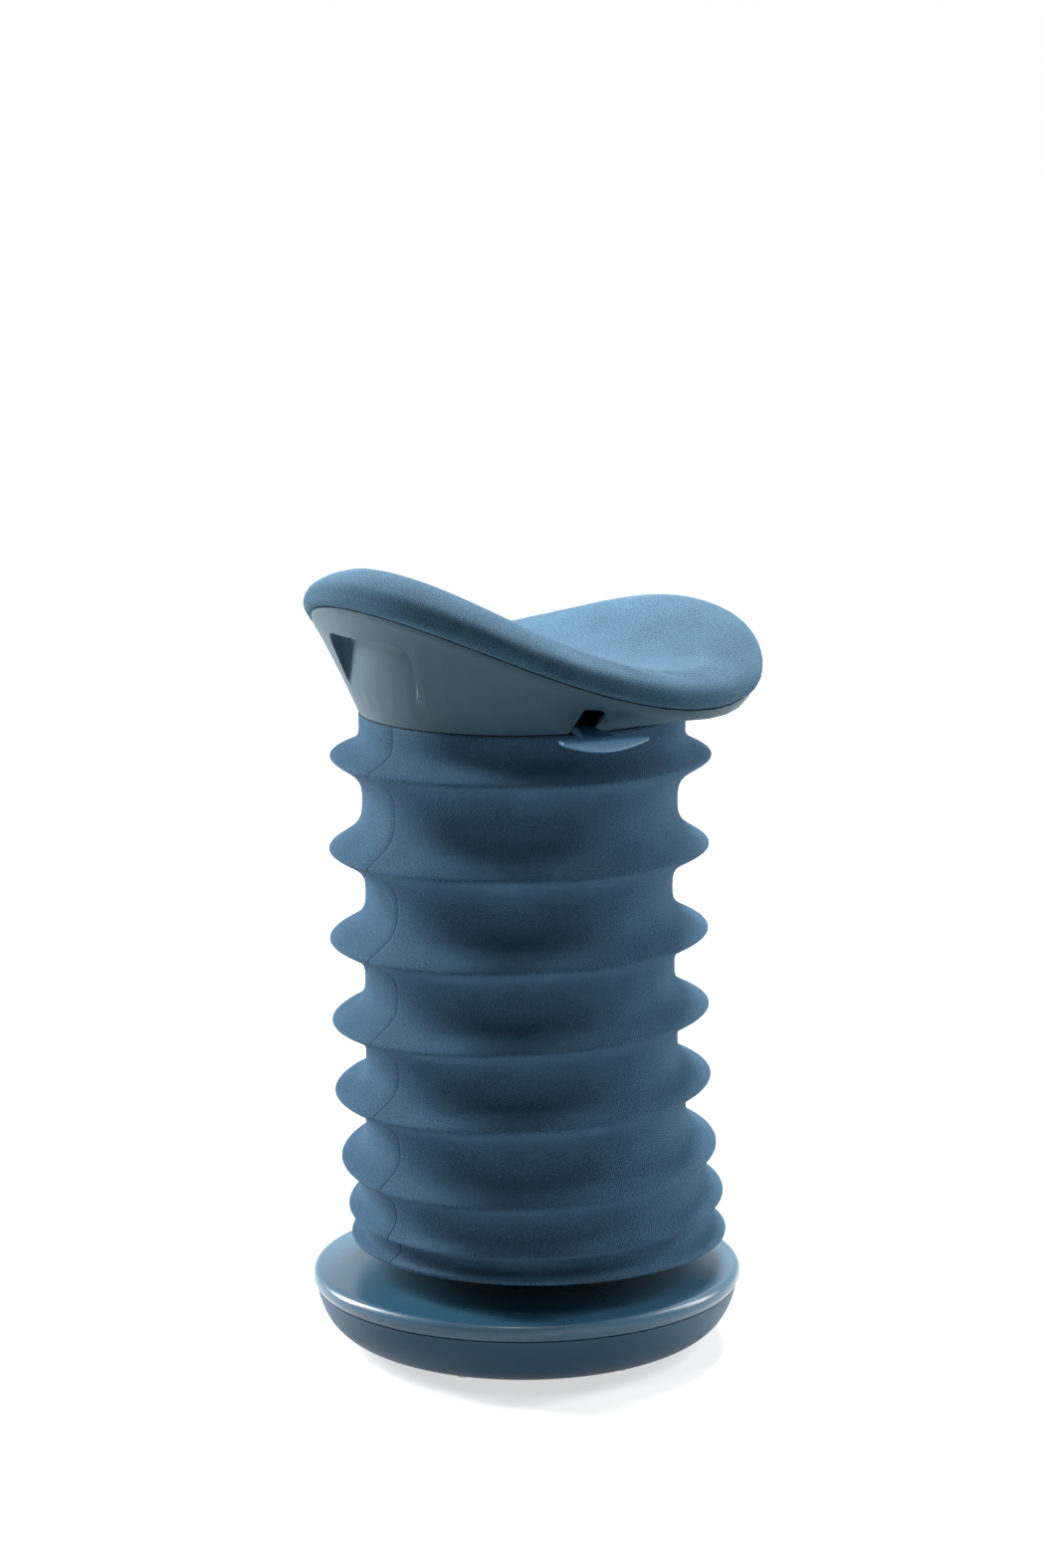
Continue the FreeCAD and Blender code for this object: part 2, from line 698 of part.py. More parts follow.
def fabric_levels():
    """Centre, normal, outer radius and lift of the inner face for each circle, from the top down."""
    hem_radius = top_ring_radius + hem_gap + fabric_thickness
    hem = UP * (bellows_top - hem_length)
    levels = [(UP * bellows_top, UP, hem_radius, 0), (hem, UP, hem_radius, 0)]
    first, first_normal = hang(0)
    stretch = fold_pitch[0] - hem_length
    for share in fold_steps[-2::-1]:
        radius = hoop_radius - draw_in(share, stretch, hoop_radius - hem_radius)
        levels.append((between(first, hem, share), between(first_normal, UP, share), radius, 0))
    levels.append((first, first_normal, hoop_radius, 0))
    shares = [s / 2 for s in fold_steps] + [1 - s / 2 for s in fold_steps[-2::-1]] + [1.0]
    for i in range(1, len(fold_pitch)):
        upper, upper_normal = hang(i - 1)
        lower, lower_normal = hang(i)
        for share in shares:
            drawn = draw_in(2 * min(share, 1 - share), fold_pitch[i] / 2, waist_depth[i])
            levels.append((between(upper, lower, share), between(upper_normal, lower_normal, share),
                           hoop_radius - drawn, 0))
    low_hem = bottom_ring_radius + hem_gap + fabric_thickness
    under_hoop = hang(len(fold_pitch) - 1)[0] - UP * (hoop_wire + fabric_under_hoop + fabric_thickness)
    levels.append((under_hoop, UP, hoop_radius - low_fold_tuck, fabric_thickness))
    levels.append((UP * (bottom_plate_z + bottom_hem_height / 2), UP, low_hem, fabric_thickness))
    levels.append((UP * bottom_plate_z, UP, low_hem, 0))
    return levels


levels = fabric_levels()
high_end, low_end = levels[0], levels[-1]
cut_levels = ([(high_end[0] + UP * OVERCUT, UP, high_end[2], 0)] + levels[1:-1]
              + [(low_end[0] - UP * OVERCUT, UP, low_end[2], 0)])
skin_outer = Part.makeLoft([circle(c, n, r) for c, n, r, _ in levels], True, True)
skin_inner = Part.makeLoft([circle(c + UP * lift, n, r - fabric_thickness) for c, n, r, lift in cut_levels],
                           True, True)
nodes["bellows_fabric"] = skin_outer.cut(skin_inner)

for i in range(len(fold_pitch)):
    centre, normal = hang(i)
    nodes["hoop_%d" % (i + 1)] = Part.makeTorus(hoop_radius - hoop_inset, hoop_wire, centre, normal)


# Seat pan: dished moulding with four posts for the shell
def pan_slab(lift, low_points):
    """Ring of the pan, or of the space under it, from its top down to its low points."""
    def edges(a):
        top = pan_curve(a, lift)
        return seat_edges(a, top[:1], top[1:] + low_points(a))
    return polar_loft(edges)


pan = pan_slab(0, lambda a: pan_curve(a, -pan_thickness)[::-1])
pan = pan.fuse(flat_middle(pan_flat, seat_plate_top, pan_centre_z))
under_pan = pan_slab(-pan_thickness / 2, lambda a: [(pan_edge(a)[0], neck_z), (pan_flat, neck_z)])
pan = pan.fuse([cylinder(post_radius, post_low, neck_z + rear_rise, spot).common(under_pan)
                for spot in post_spots])
pan = drilled(pan, post_spots, screw_radius + thread_gap, 0, post_low + post_screw_bite + blind_gap)
plate_screw_top = seat_plate_top + plate_screw_bite
pan = drilled(pan, plate_screw_spots, screw_radius + thread_gap, 0, plate_screw_top + blind_gap)
nodes["seat_pan"] = pan

# Foam on the pan and the fabric cover round it, tucked in against the pan's edge
nodes["seat_foam"] = cushion_solid(cover_thickness, lambda a: (
    [(pan_edge(a)[0] + tuck_gap / 2, pan_edge(a)[1])] + pan_curve(a, foam_gap)[::-1]
    + [(cushion_flat, pan_centre_z + foam_gap)]))
cover_whole = cushion_solid(0, lambda a: [
    (pan_edge(a)[0] + tuck_gap, rim_z(a)), (cushion_flat, pan_centre_z)])
cover_inside = cushion_solid(cover_thickness, lambda a: [
    (pan_edge(a)[0] + tuck_gap, rim_z(a) + cover_thickness), (pan_edge(a)[0] + tuck_gap, neck_z),
    (cushion_flat, neck_z)])
nodes["seat_cover"] = cover_whole.cut(cover_inside)


# Seat shell: cone from the neck to the seam, with a lip, a floor, the grip and the lever slot
def shell_corners(angle):
    """Neck, crease, middle of the lip and edge of the shell's outside."""
    radius = rim_radius(angle)
    seam = rim_z(angle)
    crease = (radius - shell_lip_inset, seam - shell_lip_height)
    edge = (radius - seam_step, seam - seam_gap)
    run = (edge[0] - crease[0], edge[1] - crease[1])
    bulge = shell_lip_bulge / hypot(*run)
    middle = ((crease[0] + edge[0]) / 2 + bulge * run[1], (crease[1] + edge[1]) / 2 - bulge * run[0])
    return (neck_radius, neck_z), crease, middle, edge


def shell_profile(angle):
    neck, crease, middle, edge = shell_corners(angle)
    run = (crease[0] - neck[0], crease[1] - neck[1])
    inward = (-run[1] / hypot(*run) * shell_wall, run[0] / hypot(*run) * shell_wall)
    inside = [(edge[0] - shell_wall, edge[1]), (crease[0] + inward[0], crease[1] + inward[1]),
              (neck[0] + inward[0], neck[1] + inward[1]), neck]
    return seat_edges(angle, [crease, middle, edge], inside)


def shell_volume_profile(angle):
    neck, crease, middle, edge = shell_corners(angle)
    core = shell_floor_bore - OVERCUT
    return seat_edges(angle, [crease, middle, edge], [(core, edge[1]), (core, neck_z), neck])


def sector(inner_radius, half_angle, low, high):
    """Upright sector of a ring round +Y, with its top edges and its back corners rounded."""
    far = seat_front_radius + grip_corner
    left, right = radians(90 + half_angle), radians(90 - half_angle)

    def spot(radius, turn):
        return V(radius * cos(turn), radius * sin(turn), low)

    def heights(edge):
        return [v.Z for v in edge.Vertexes]

    wire = Part.Wire([
        Part.Arc(spot(inner_radius, right), spot(inner_radius, pi / 2), spot(inner_radius, left)).toShape(),
        Part.makeLine(spot(inner_radius, left), spot(far, left)),
        Part.Arc(spot(far, left), spot(far, pi / 2), spot(far, right)).toShape(),
        Part.makeLine(spot(far, right), spot(inner_radius, right))])
    solid = Part.Face(wire).extrude(V(0, 0, high - low))
    back = [e for e in solid.Edges if max(heights(e)) > min(heights(e))
            and hypot(e.Vertexes[0].X, e.Vertexes[0].Y) < inner_radius + OVERCUT]
    solid = solid.makeFillet(grip_back_corner, back)
    top = [e for e in solid.Edges if isinstance(e.Curve, Part.Line)
           and min(heights(e)) > high - grip_corner]
    return solid.makeFillet(grip_corner, top)


shell = polar_loft(shell_profile)
inside = polar_loft(shell_volume_profile)
grip_low = neck_z + grip_bottom_rise
grip_high = neck_z + grip_top_rise
grip_cut = sector(grip_radius, grip_half_angle, grip_low, grip_high)
grip_wall = sector(grip_radius - shell_wall, grip_half_angle + degrees(shell_wall / grip_radius),
                   grip_low, grip_high + shell_wall)
shell_floor = tube(shell_floor_bore, seat_front_radius, shell_floor_z, post_low).common(inside)
shell = shell.fuse([shell_floor, grip_wall.common(inside)]).cut(grip_cut)
slot_end = slot_reach - slot_width / 2
slot_high = neck_z + side_rise
slot = block(0, slot_end, -slot_width / 2, slot_width / 2, neck_z - OVERCUT, slot_high)
slot = slot.fuse(cylinder(slot_width / 2, neck_z - OVERCUT, slot_high, V(slot_end, 0, 0)))
shell = shell.cut(turned(slot, lever_direction))
nodes["seat_shell"] = drilled(shell, post_spots, screw_radius + hole_gap, neck_z, post_low + blind_gap)
nodes["shell_screws"] = [
    screw(screw_radius, screw_head, screw_head_height, shell_floor_z - screw_head_height,
          post_low + post_screw_bite, spot) for spot in post_spots]

# Seat plate: top plate, two cheeks that hold the lever's pin, and the socket for the cylinder
top_plate = block(-plate_length / 2, plate_length / 2, -plate_width / 2, plate_width / 2,
                  cheek_top, seat_plate_top)
top_plate = drilled(top_plate, plate_screw_spots, screw_radius + hole_gap, 0, seat_plate_top + OVERCUT)
cheek_reach = lever_pivot + cheek_margin
cheek_outside = cheek_gap / 2 + cheek_wall
cheek = block(-cheek_reach, cheek_reach, cheek_gap / 2, cheek_outside, lower_plate_z, cheek_top)
socket_radius = cylinder_radius + socket_wall
lever_box = cheek.fuse(cheek.mirror(V(0, 0, 0), V(0, 1, 0)))
lever_box = lever_box.fuse(
    block(-cheek_reach, cheek_reach, -cheek_outside, cheek_outside, lower_plate_z, socket_top))
lever_box = lever_box.fuse(cylinder(socket_radius, socket_bottom, socket_top))
taper_bore = Part.makeCone(cylinder_radius + fit_gap, cylinder_radius - cylinder_taper + fit_gap,
                           cylinder_head, V(0, 0, head_z), UP)
button_hole = cylinder(2 * button_radius, cylinder_top - OVERCUT, cheek_top)
lever_box = lever_box.cut(taper_bore).cut(button_hole)
pin_reach = cheek_outside + lever_pin_over
lever_pin = Part.makeCylinder(lever_pin_radius, 2 * pin_reach,
                              V(lever_pivot, -pin_reach, lever_pin_z), V(0, 1, 0))
nodes["seat_plate"] = top_plate.fuse(turned(lever_box.cut(lever_pin), lever_direction))
nodes["lever_pivot_pin"] = turned(lever_pin, lever_direction)
nodes["seat_plate_screws"] = [
    screw(screw_radius, screw_head, screw_head_height, cheek_top - screw_head_height,
          plate_screw_top, spot) for spot in plate_screw_spots]

# Carrier: spider on the socket that carries the bellows' top ring
clip_low = socket_bottom + carrier_clip_inset
carrier_low = clip_low + carrier_clip_height + fit_gap
carrier_reach = slip_inner - slip_bore_gap
carrier = tube(socket_radius + fit_gap, socket_radius + carrier_hub_wall, carrier_low, carrier_top)
arm_start = socket_radius + carrier_hub_wall / 2
arm = block(arm_start, carrier_reach, -carrier_arm_width / 2, carrier_arm_width / 2,
            carrier_bottom, carrier_top)
web = block(arm_start, carrier_reach - carrier_rim_width, -carrier_plate / 2, carrier_plate / 2,
            carrier_bottom - carrier_web_height, carrier_top)
for i in range(carrier_arms):
    carrier = carrier.fuse(turned(arm.fuse(web), lever_direction + 360.0 * (i + 0.5) / carrier_arms))
carrier = carrier.fuse(tube(slip_inner - carrier_rim_width / 2, slip_inner + carrier_rim_width / 2,
                            carrier_bottom, carrier_top))
nodes["bellows_carrier"] = carrier.fuse(
    tube(carrier_reach - carrier_lip_wall, carrier_reach, carrier_bottom, top_ring_bottom + carrier_lip))
nodes["carrier_clip"] = tube(socket_radius, socket_radius + carrier_clip_width,
                             clip_low, clip_low + carrier_clip_height)

# Lever: a bent steel arm on the pin, with a moulded stem and T-bar on its outer end
stem_low = bellows_top + stem_lift
arm_end_z = stem_low + stem_height / 2
half = lever_thickness / 2
arm_line = [(-lever_tail, lever_z), (lever_bend, lever_z), (lever_end, arm_end_z)]
arm_side = lever_width / 2
arm_outline = [V(r, -arm_side, z + half) for r, z in arm_line]
arm_outline += [V(r, -arm_side, z - half) for r, z in arm_line[::-1]]
arm = prism(arm_outline, V(0, lever_width, 0))
eye = Part.makeCylinder(lever_eye_radius, lever_width, V(lever_pivot, -arm_side, lever_pin_z), V(0, 1, 0))
pin_hole = Part.makeCylinder(lever_pin_radius + running_gap, 2 * pin_reach,
                             V(lever_pivot, -pin_reach, lever_pin_z), V(0, 1, 0))
nodes["lever_arm"] = turned(arm.fuse(eye).cut(pin_hole), lever_direction)

bar_top = arm_end_z - bar_drop + bar_height / 2


def bar_section(across, reach, height):
    """Section of the T-bar at one place along it: flat on top, round at its edge, full below."""
    inner, outer, low = reach - bar_depth / 2, reach + bar_depth / 2, bar_top - height
    corner = (outer, bar_top - bar_edge)
    back = (inner, bar_top - bar_belly * height)
    return Part.Wire(
        lines([(inner, bar_top), (outer - bar_edge, bar_top)], across)
        + [bezier([(outer - bar_edge, bar_top), (outer, bar_top), corner], across),
           bezier([corner, (outer, low), (reach, low)], across),
           bezier([(reach, low), (inner, low), back], across)]
        + lines([back, (inner, bar_top)], across))


bar_sections = []
for i in range(bar_steps + 1):
    share = 2.0 * i / bar_steps - 1
    height = bar_tip_height + (bar_height - bar_tip_height) * (1 - share * share)
    reach = bar_radius - bar_depth / 2 - bar_sweep * share * share
    bar_sections.append(bar_section(share * bar_length / 2, reach, height))
bar = Part.makeLoft(bar_sections, True, False)

bar_inner = bar_radius - bar_depth + bar_edge
stem_plan = [(stem_start, stem_width), (lever_end, stem_width), (bar_inner, stem_flare)]
plan = [V(r, -w / 2, stem_low - bar_length / 2) for r, w in stem_plan]
plan += [V(r, w / 2, stem_low - bar_length / 2) for r, w in stem_plan[::-1]]
stem_bottom = [(stem_start, stem_low), (lever_end, stem_low),
               (bar_inner, bar_top - bar_height + bar_edge / 2)]
stem_top = [(bar_inner, bar_top - stem_step), (lever_end, stem_low + stem_height),
            (stem_start, stem_low + stem_height)]
side = [V(r, -bar_length / 2, z) for r, z in stem_bottom + stem_top]
stem = prism(side, V(0, bar_length, 0)).common(prism(plan, V(0, 0, bar_length)))
nodes["lever_handle"] = turned(bar.fuse(stem).cut(arm), lever_direction)

os.makedirs("parts", exist_ok=True)
for name, shape in nodes.items():
    if isinstance(shape, list):
        shape = Part.makeCompound(shape)
    shape.exportStep("parts/%s.step" % name)
    print(name, shape.isValid(), len(shape.Solids), round(shape.Volume / 1000, 1))
for label, value in (("pivot", pivot_z), ("bottom plate", bottom_plate_z), ("bellows top", bellows_top),
                     ("cylinder top", cylinder_top), ("lever pin", lever_pin_z), ("tube top", tube_top)):
    print(label, round(value, 1))
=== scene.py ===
# %% [markdown]
# A wobble stool
#
# The stool has a saddle seat on a moulded shell, a gas-lift column hidden in a fabric
# bellows, and a round weighted base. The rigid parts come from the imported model, which is
# the fixed frame here. This lesson dresses them, and builds the soft parts anew as meshes.

# %% Load the frame
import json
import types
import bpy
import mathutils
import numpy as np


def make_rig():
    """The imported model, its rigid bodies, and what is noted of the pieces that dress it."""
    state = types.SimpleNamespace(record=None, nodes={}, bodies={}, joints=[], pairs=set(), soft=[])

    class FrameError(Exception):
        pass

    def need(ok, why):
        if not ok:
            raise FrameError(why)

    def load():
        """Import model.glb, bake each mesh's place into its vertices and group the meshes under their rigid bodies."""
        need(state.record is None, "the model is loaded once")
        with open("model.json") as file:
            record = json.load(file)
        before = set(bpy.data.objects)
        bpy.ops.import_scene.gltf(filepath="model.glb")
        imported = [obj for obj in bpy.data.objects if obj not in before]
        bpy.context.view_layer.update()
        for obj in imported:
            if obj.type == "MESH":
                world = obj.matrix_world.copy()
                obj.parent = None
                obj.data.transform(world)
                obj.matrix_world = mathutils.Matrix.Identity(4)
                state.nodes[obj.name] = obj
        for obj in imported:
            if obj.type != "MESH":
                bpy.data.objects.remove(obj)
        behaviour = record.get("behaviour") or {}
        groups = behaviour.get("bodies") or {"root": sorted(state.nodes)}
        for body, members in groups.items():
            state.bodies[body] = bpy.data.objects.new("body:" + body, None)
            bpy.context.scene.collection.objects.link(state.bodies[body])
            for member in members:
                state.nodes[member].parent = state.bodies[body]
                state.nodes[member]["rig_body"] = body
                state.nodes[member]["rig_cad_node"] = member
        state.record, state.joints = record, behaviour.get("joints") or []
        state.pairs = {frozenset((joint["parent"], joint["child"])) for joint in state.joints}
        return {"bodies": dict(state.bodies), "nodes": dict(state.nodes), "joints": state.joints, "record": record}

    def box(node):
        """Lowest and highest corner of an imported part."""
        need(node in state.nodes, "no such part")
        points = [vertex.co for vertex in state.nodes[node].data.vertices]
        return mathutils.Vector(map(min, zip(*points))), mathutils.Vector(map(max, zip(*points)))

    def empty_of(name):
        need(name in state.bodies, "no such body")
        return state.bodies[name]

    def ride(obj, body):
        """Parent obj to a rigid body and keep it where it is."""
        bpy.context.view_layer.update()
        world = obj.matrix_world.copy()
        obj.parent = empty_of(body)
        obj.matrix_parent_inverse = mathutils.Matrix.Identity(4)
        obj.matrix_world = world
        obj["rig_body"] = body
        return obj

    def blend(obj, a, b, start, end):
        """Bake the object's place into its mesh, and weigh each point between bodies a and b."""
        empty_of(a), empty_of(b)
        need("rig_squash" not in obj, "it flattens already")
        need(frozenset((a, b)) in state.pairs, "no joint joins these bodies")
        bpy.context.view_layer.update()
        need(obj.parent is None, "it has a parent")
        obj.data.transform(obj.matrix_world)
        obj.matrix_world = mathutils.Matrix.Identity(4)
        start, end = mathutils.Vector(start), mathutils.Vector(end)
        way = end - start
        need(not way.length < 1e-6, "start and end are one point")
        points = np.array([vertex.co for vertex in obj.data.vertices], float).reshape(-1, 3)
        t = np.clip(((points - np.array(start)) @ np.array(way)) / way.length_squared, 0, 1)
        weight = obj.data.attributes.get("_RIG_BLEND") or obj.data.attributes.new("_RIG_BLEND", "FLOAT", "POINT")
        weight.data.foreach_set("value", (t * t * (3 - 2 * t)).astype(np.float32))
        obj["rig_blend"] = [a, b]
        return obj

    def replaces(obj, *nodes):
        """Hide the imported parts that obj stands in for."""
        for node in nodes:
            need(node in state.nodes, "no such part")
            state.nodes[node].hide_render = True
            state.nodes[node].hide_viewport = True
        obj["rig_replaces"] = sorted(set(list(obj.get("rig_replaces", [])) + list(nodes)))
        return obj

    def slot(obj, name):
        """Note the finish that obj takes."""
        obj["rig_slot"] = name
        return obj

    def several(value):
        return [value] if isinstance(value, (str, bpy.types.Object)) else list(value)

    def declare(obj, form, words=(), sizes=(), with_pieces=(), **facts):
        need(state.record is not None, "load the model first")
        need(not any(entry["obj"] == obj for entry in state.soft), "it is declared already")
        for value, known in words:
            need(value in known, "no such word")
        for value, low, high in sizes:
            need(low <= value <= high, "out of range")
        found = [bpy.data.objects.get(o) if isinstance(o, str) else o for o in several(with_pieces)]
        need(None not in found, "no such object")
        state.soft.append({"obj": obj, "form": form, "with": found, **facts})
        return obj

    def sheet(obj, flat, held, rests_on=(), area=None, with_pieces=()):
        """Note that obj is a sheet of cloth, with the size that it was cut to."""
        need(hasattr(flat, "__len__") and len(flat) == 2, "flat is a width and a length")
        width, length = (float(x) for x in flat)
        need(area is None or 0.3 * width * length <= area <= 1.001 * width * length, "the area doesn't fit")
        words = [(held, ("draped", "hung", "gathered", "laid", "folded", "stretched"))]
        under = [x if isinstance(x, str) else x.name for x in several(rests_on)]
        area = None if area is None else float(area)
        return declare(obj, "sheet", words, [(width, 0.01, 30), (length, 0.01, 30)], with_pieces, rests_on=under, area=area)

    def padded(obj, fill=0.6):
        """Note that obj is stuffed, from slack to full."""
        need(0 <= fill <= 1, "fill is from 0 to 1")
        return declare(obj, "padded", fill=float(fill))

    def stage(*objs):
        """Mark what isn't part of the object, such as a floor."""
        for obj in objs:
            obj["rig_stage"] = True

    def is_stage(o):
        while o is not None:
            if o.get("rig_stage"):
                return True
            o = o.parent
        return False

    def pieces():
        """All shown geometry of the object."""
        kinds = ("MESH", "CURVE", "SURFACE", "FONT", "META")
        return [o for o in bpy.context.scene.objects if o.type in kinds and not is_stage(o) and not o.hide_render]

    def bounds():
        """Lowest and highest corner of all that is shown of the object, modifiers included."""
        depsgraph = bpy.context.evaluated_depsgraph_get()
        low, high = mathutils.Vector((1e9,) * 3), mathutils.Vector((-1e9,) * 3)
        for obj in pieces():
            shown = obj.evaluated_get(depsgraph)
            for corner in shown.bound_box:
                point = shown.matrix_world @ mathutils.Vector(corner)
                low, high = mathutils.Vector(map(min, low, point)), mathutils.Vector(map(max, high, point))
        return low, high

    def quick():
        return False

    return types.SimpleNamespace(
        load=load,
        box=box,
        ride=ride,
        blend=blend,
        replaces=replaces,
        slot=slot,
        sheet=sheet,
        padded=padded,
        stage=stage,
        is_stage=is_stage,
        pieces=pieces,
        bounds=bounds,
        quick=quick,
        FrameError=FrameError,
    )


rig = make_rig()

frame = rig.load()

import json
from math import cos, hypot, pi, radians, sin, sqrt

import bpy
import numpy as np
from mathutils import Quaternion, Vector
from mathutils.bvhtree import BVHTree

CAD_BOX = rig.bounds()
print("bodies", sorted(frame["bodies"]), "nodes", len(frame["nodes"]))

# %% [markdown]
# Camera
#
# A product photo is best matched from the camera's own place. The round base, the hoops and
# the rim of the seat are circles and loops whose ellipses give the camera's height and
# pitch, so the lens and the place below are the measured ones. The camera stands at the
# rear left of the stool and looks down a little.

# %% Camera at the photo's place
PHOTO_HEIGHT = 1575
FOCAL_PIXELS = 3945.0
SENSOR = 36.0
CAMERA_WAY = 144.0
CAMERA_DISTANCE = 3.2
CAMERA_HEIGHT = 1.06235
CAMERA_PITCH = 10.44
CAMERA_ROLL = -0.5


def around(radius, degrees, z=0.0):
    """Point at a radius and a compass angle from +X."""
    return Vector((radius * cos(radians(degrees)), radius * sin(radians(degrees)), z))


camera = bpy.data.objects.new("camera", bpy.data.cameras.new("camera"))
bpy.context.scene.collection.objects.link(camera)
bpy.context.scene.camera = camera
camera.data.sensor_width = SENSOR
camera.data.lens = FOCAL_PIXELS * SENSOR / PHOTO_HEIGHT
camera.location = around(CAMERA_DISTANCE, CAMERA_WAY, CAMERA_HEIGHT)
looking = around(-cos(radians(CAMERA_PITCH)), CAMERA_WAY, -sin(radians(CAMERA_PITCH)))
camera.rotation_mode = "QUATERNION"
roll = Quaternion((0, 0, 1), radians(CAMERA_ROLL))
camera.rotation_quaternion = looking.to_track_quat("-Z", "Y") @ roll
print("lens", round(camera.data.lens, 1), "mm")

# %% [markdown]
# Nodes
#
# Every finish below is made of shader nodes. Short helpers place a node and set or link its
# inputs, make a group with named sockets, and make a material with its shader, so that each
# recipe reads as a list of steps.


# %% Helpers for shader nodes
def add(tree, kind, inputs=None, **settings):
    """New node in a tree; each input is a value or another node's socket."""
    node = tree.nodes.new(kind)
    for name, value in settings.items():
        setattr(node, name, value)
    for name, value in (inputs or {}).items():
        if isinstance(value, bpy.types.NodeSocket):
            tree.links.new(value, node.inputs[name])
        else:
            node.inputs[name].default_value = value
    return node


def math_node(tree, operation, a, b=0.0):
    return add(tree, "ShaderNodeMath", {0: a, 1: b}, operation=operation).outputs[0]


def spread(tree, value, low, high, to_low=0.0, to_high=1.0):
    """A value stretched from one range to another, and held inside it."""
    return add(tree, "ShaderNodeMapRange", {"Value": value, "From Min": low, "From Max": high,
                                            "To Min": to_low, "To Max": to_high}).outputs["Result"]


def mix_colour(tree, share, a, b):
    node = add(tree, "ShaderNodeMix", data_type="RGBA")
    for socket, value in ((node.inputs[0], share), (node.inputs[6], a), (node.inputs[7], b)):
        if isinstance(value, bpy.types.NodeSocket):
            tree.links.new(value, socket)
        else:
            socket.default_value = value
    return node.outputs[2]


def new_group(name, inputs, outputs):
    """Empty shader node group with named sockets; returns it with its two end nodes."""
    group = bpy.data.node_groups.new(name, "ShaderNodeTree")
    for label, (kind, value) in inputs.items():
        socket = group.interface.new_socket(label, in_out="INPUT", socket_type="NodeSocket" + kind)
        socket.default_value = value
    for label, kind in outputs.items():
        group.interface.new_socket(label, in_out="OUTPUT", socket_type="NodeSocket" + kind)
    return group, group.nodes.new("NodeGroupInput"), group.nodes.new("NodeGroupOutput")


def finish_group(group, end, results):
    for label, socket in results.items():
        group.links.new(socket, end.inputs[label])
    return group


def use(tree, group, inputs):
    """A group placed in a material with its own values."""
    return add(tree, "ShaderNodeGroup", inputs, node_tree=group).outputs


def new_material(name, **settings):
    """Material with its Principled BSDF, whose plain values are set here."""
    material = bpy.data.materials.new(name)
    material.use_nodes = True
    shader = material.node_tree.nodes["Principled BSDF"]
    for label, value in settings.items():
        shader.inputs[label.replace("_", " ")].default_value = value
    return material, material.node_tree, shader


def bump(tree, shader, height, distance, strength=1.0):
    node = add(tree, "ShaderNodeBump",
               {"Height": height, "Distance": distance, "Strength": strength})
    tree.links.new(node.outputs["Normal"], shader.inputs["Normal"])


def link_finish(tree, shader, out, depth):
    """A group's colour, roughness and height, linked to the shader."""
    tree.links.new(out["Color"], shader.inputs["Base Color"])
    tree.links.new(out["Roughness"], shader.inputs["Roughness"])
    bump(tree, shader, out["Height"], depth)


print("node helpers ready")

# %% [markdown]
# Knitted cloth
#
# The seat's cover and the bellows are one kind of cloth: a fine knit whose stitches lie in
# slanting rows. A photo texture would repeat and need a file, so the knit is a formula. Two
# waves across each other give the stitches, a slow noise gives the uneven dye, and the
# height of the stitches goes to a bump. The low places between the stitches are painted in a
# second, darker colour, a painted shade. The waves run on the mesh's own UV map, which is laid
# out in metres, so the stitches keep their real size.

# %% Knit group
knit, start, end = new_group(
    "knit", {"Yarn": ("Color", (1, 1, 1, 1)), "Stitch Shade": ("Color", (0, 0, 0, 1)),
             "Pitch": ("Float", 0.0024), "Contrast": ("Float", 0.5), "Girth": ("Float", 1.0),
             "Seam": ("Float", 0.0)},
    {"Color": "Color", "Height": "Float", "Roughness": "Float"})
uv = add(knit, "ShaderNodeUVMap", uv_map="cloth")
per_metre = math_node(knit, "DIVIDE", 1.0, start.outputs["Pitch"])
scaled = add(knit, "ShaderNodeVectorMath", {0: uv.outputs["UV"]}, operation="SCALE")
knit.links.new(per_metre, scaled.inputs["Scale"])
flow = add(knit, "ShaderNodeTexNoise", {"Vector": scaled.outputs[0], "Scale": 0.25, "Detail": 2.0})
bent = add(knit, "ShaderNodeVectorMath", {0: flow.outputs["Color"], "Scale": 0.35},
           operation="SCALE")
cloth_place = add(knit, "ShaderNodeVectorMath",
                  {0: scaled.outputs[0], 1: bent.outputs[0]}).outputs[0]
parts = add(knit, "ShaderNodeSeparateXYZ", {"Vector": cloth_place})
slant = math_node(knit, "ADD", parts.outputs["X"],
                  math_node(knit, "MULTIPLY", parts.outputs["Y"], 0.75))
counter = math_node(knit, "SUBTRACT", math_node(knit, "MULTIPLY", parts.outputs["Y"], 1.6),
                    math_node(knit, "MULTIPLY", parts.outputs["X"], 0.5))
rib = math_node(knit, "SINE", math_node(knit, "MULTIPLY", slant, 2 * pi))
stitch = math_node(knit, "SINE", math_node(knit, "MULTIPLY", counter, 2 * pi))
height = math_node(knit, "ADD", math_node(knit, "MULTIPLY", rib, 0.16),
                   math_node(knit, "MULTIPLY", stitch, 0.1))
fibre = add(knit, "ShaderNodeTexNoise", {"Vector": scaled.outputs[0], "Scale": 1.3, "Detail": 2.0})
height = math_node(knit, "ADD", height, math_node(knit, "MULTIPLY", fibre.outputs["Fac"], 1.1))
raised = spread(knit, height, 0.2, 0.9)
seam_u = add(knit, "ShaderNodeSeparateXYZ", {"Vector": uv.outputs["UV"]}).outputs["X"]
half_girth = math_node(knit, "DIVIDE", start.outputs["Girth"], 2.0)
from_seam = math_node(knit, "PINGPONG", seam_u, half_girth)
in_seam = math_node(knit, "LESS_THAN", from_seam, start.outputs["Seam"])
raised = math_node(knit, "MULTIPLY", raised, math_node(knit, "SUBTRACT", 1.0, in_seam))
dye = add(knit, "ShaderNodeTexNoise", {"Vector": uv.outputs["UV"], "Scale": 22.0, "Detail": 3.0})
uneven = spread(knit, dye.outputs["Fac"], 0.3, 0.7, 0.0, 0.18)
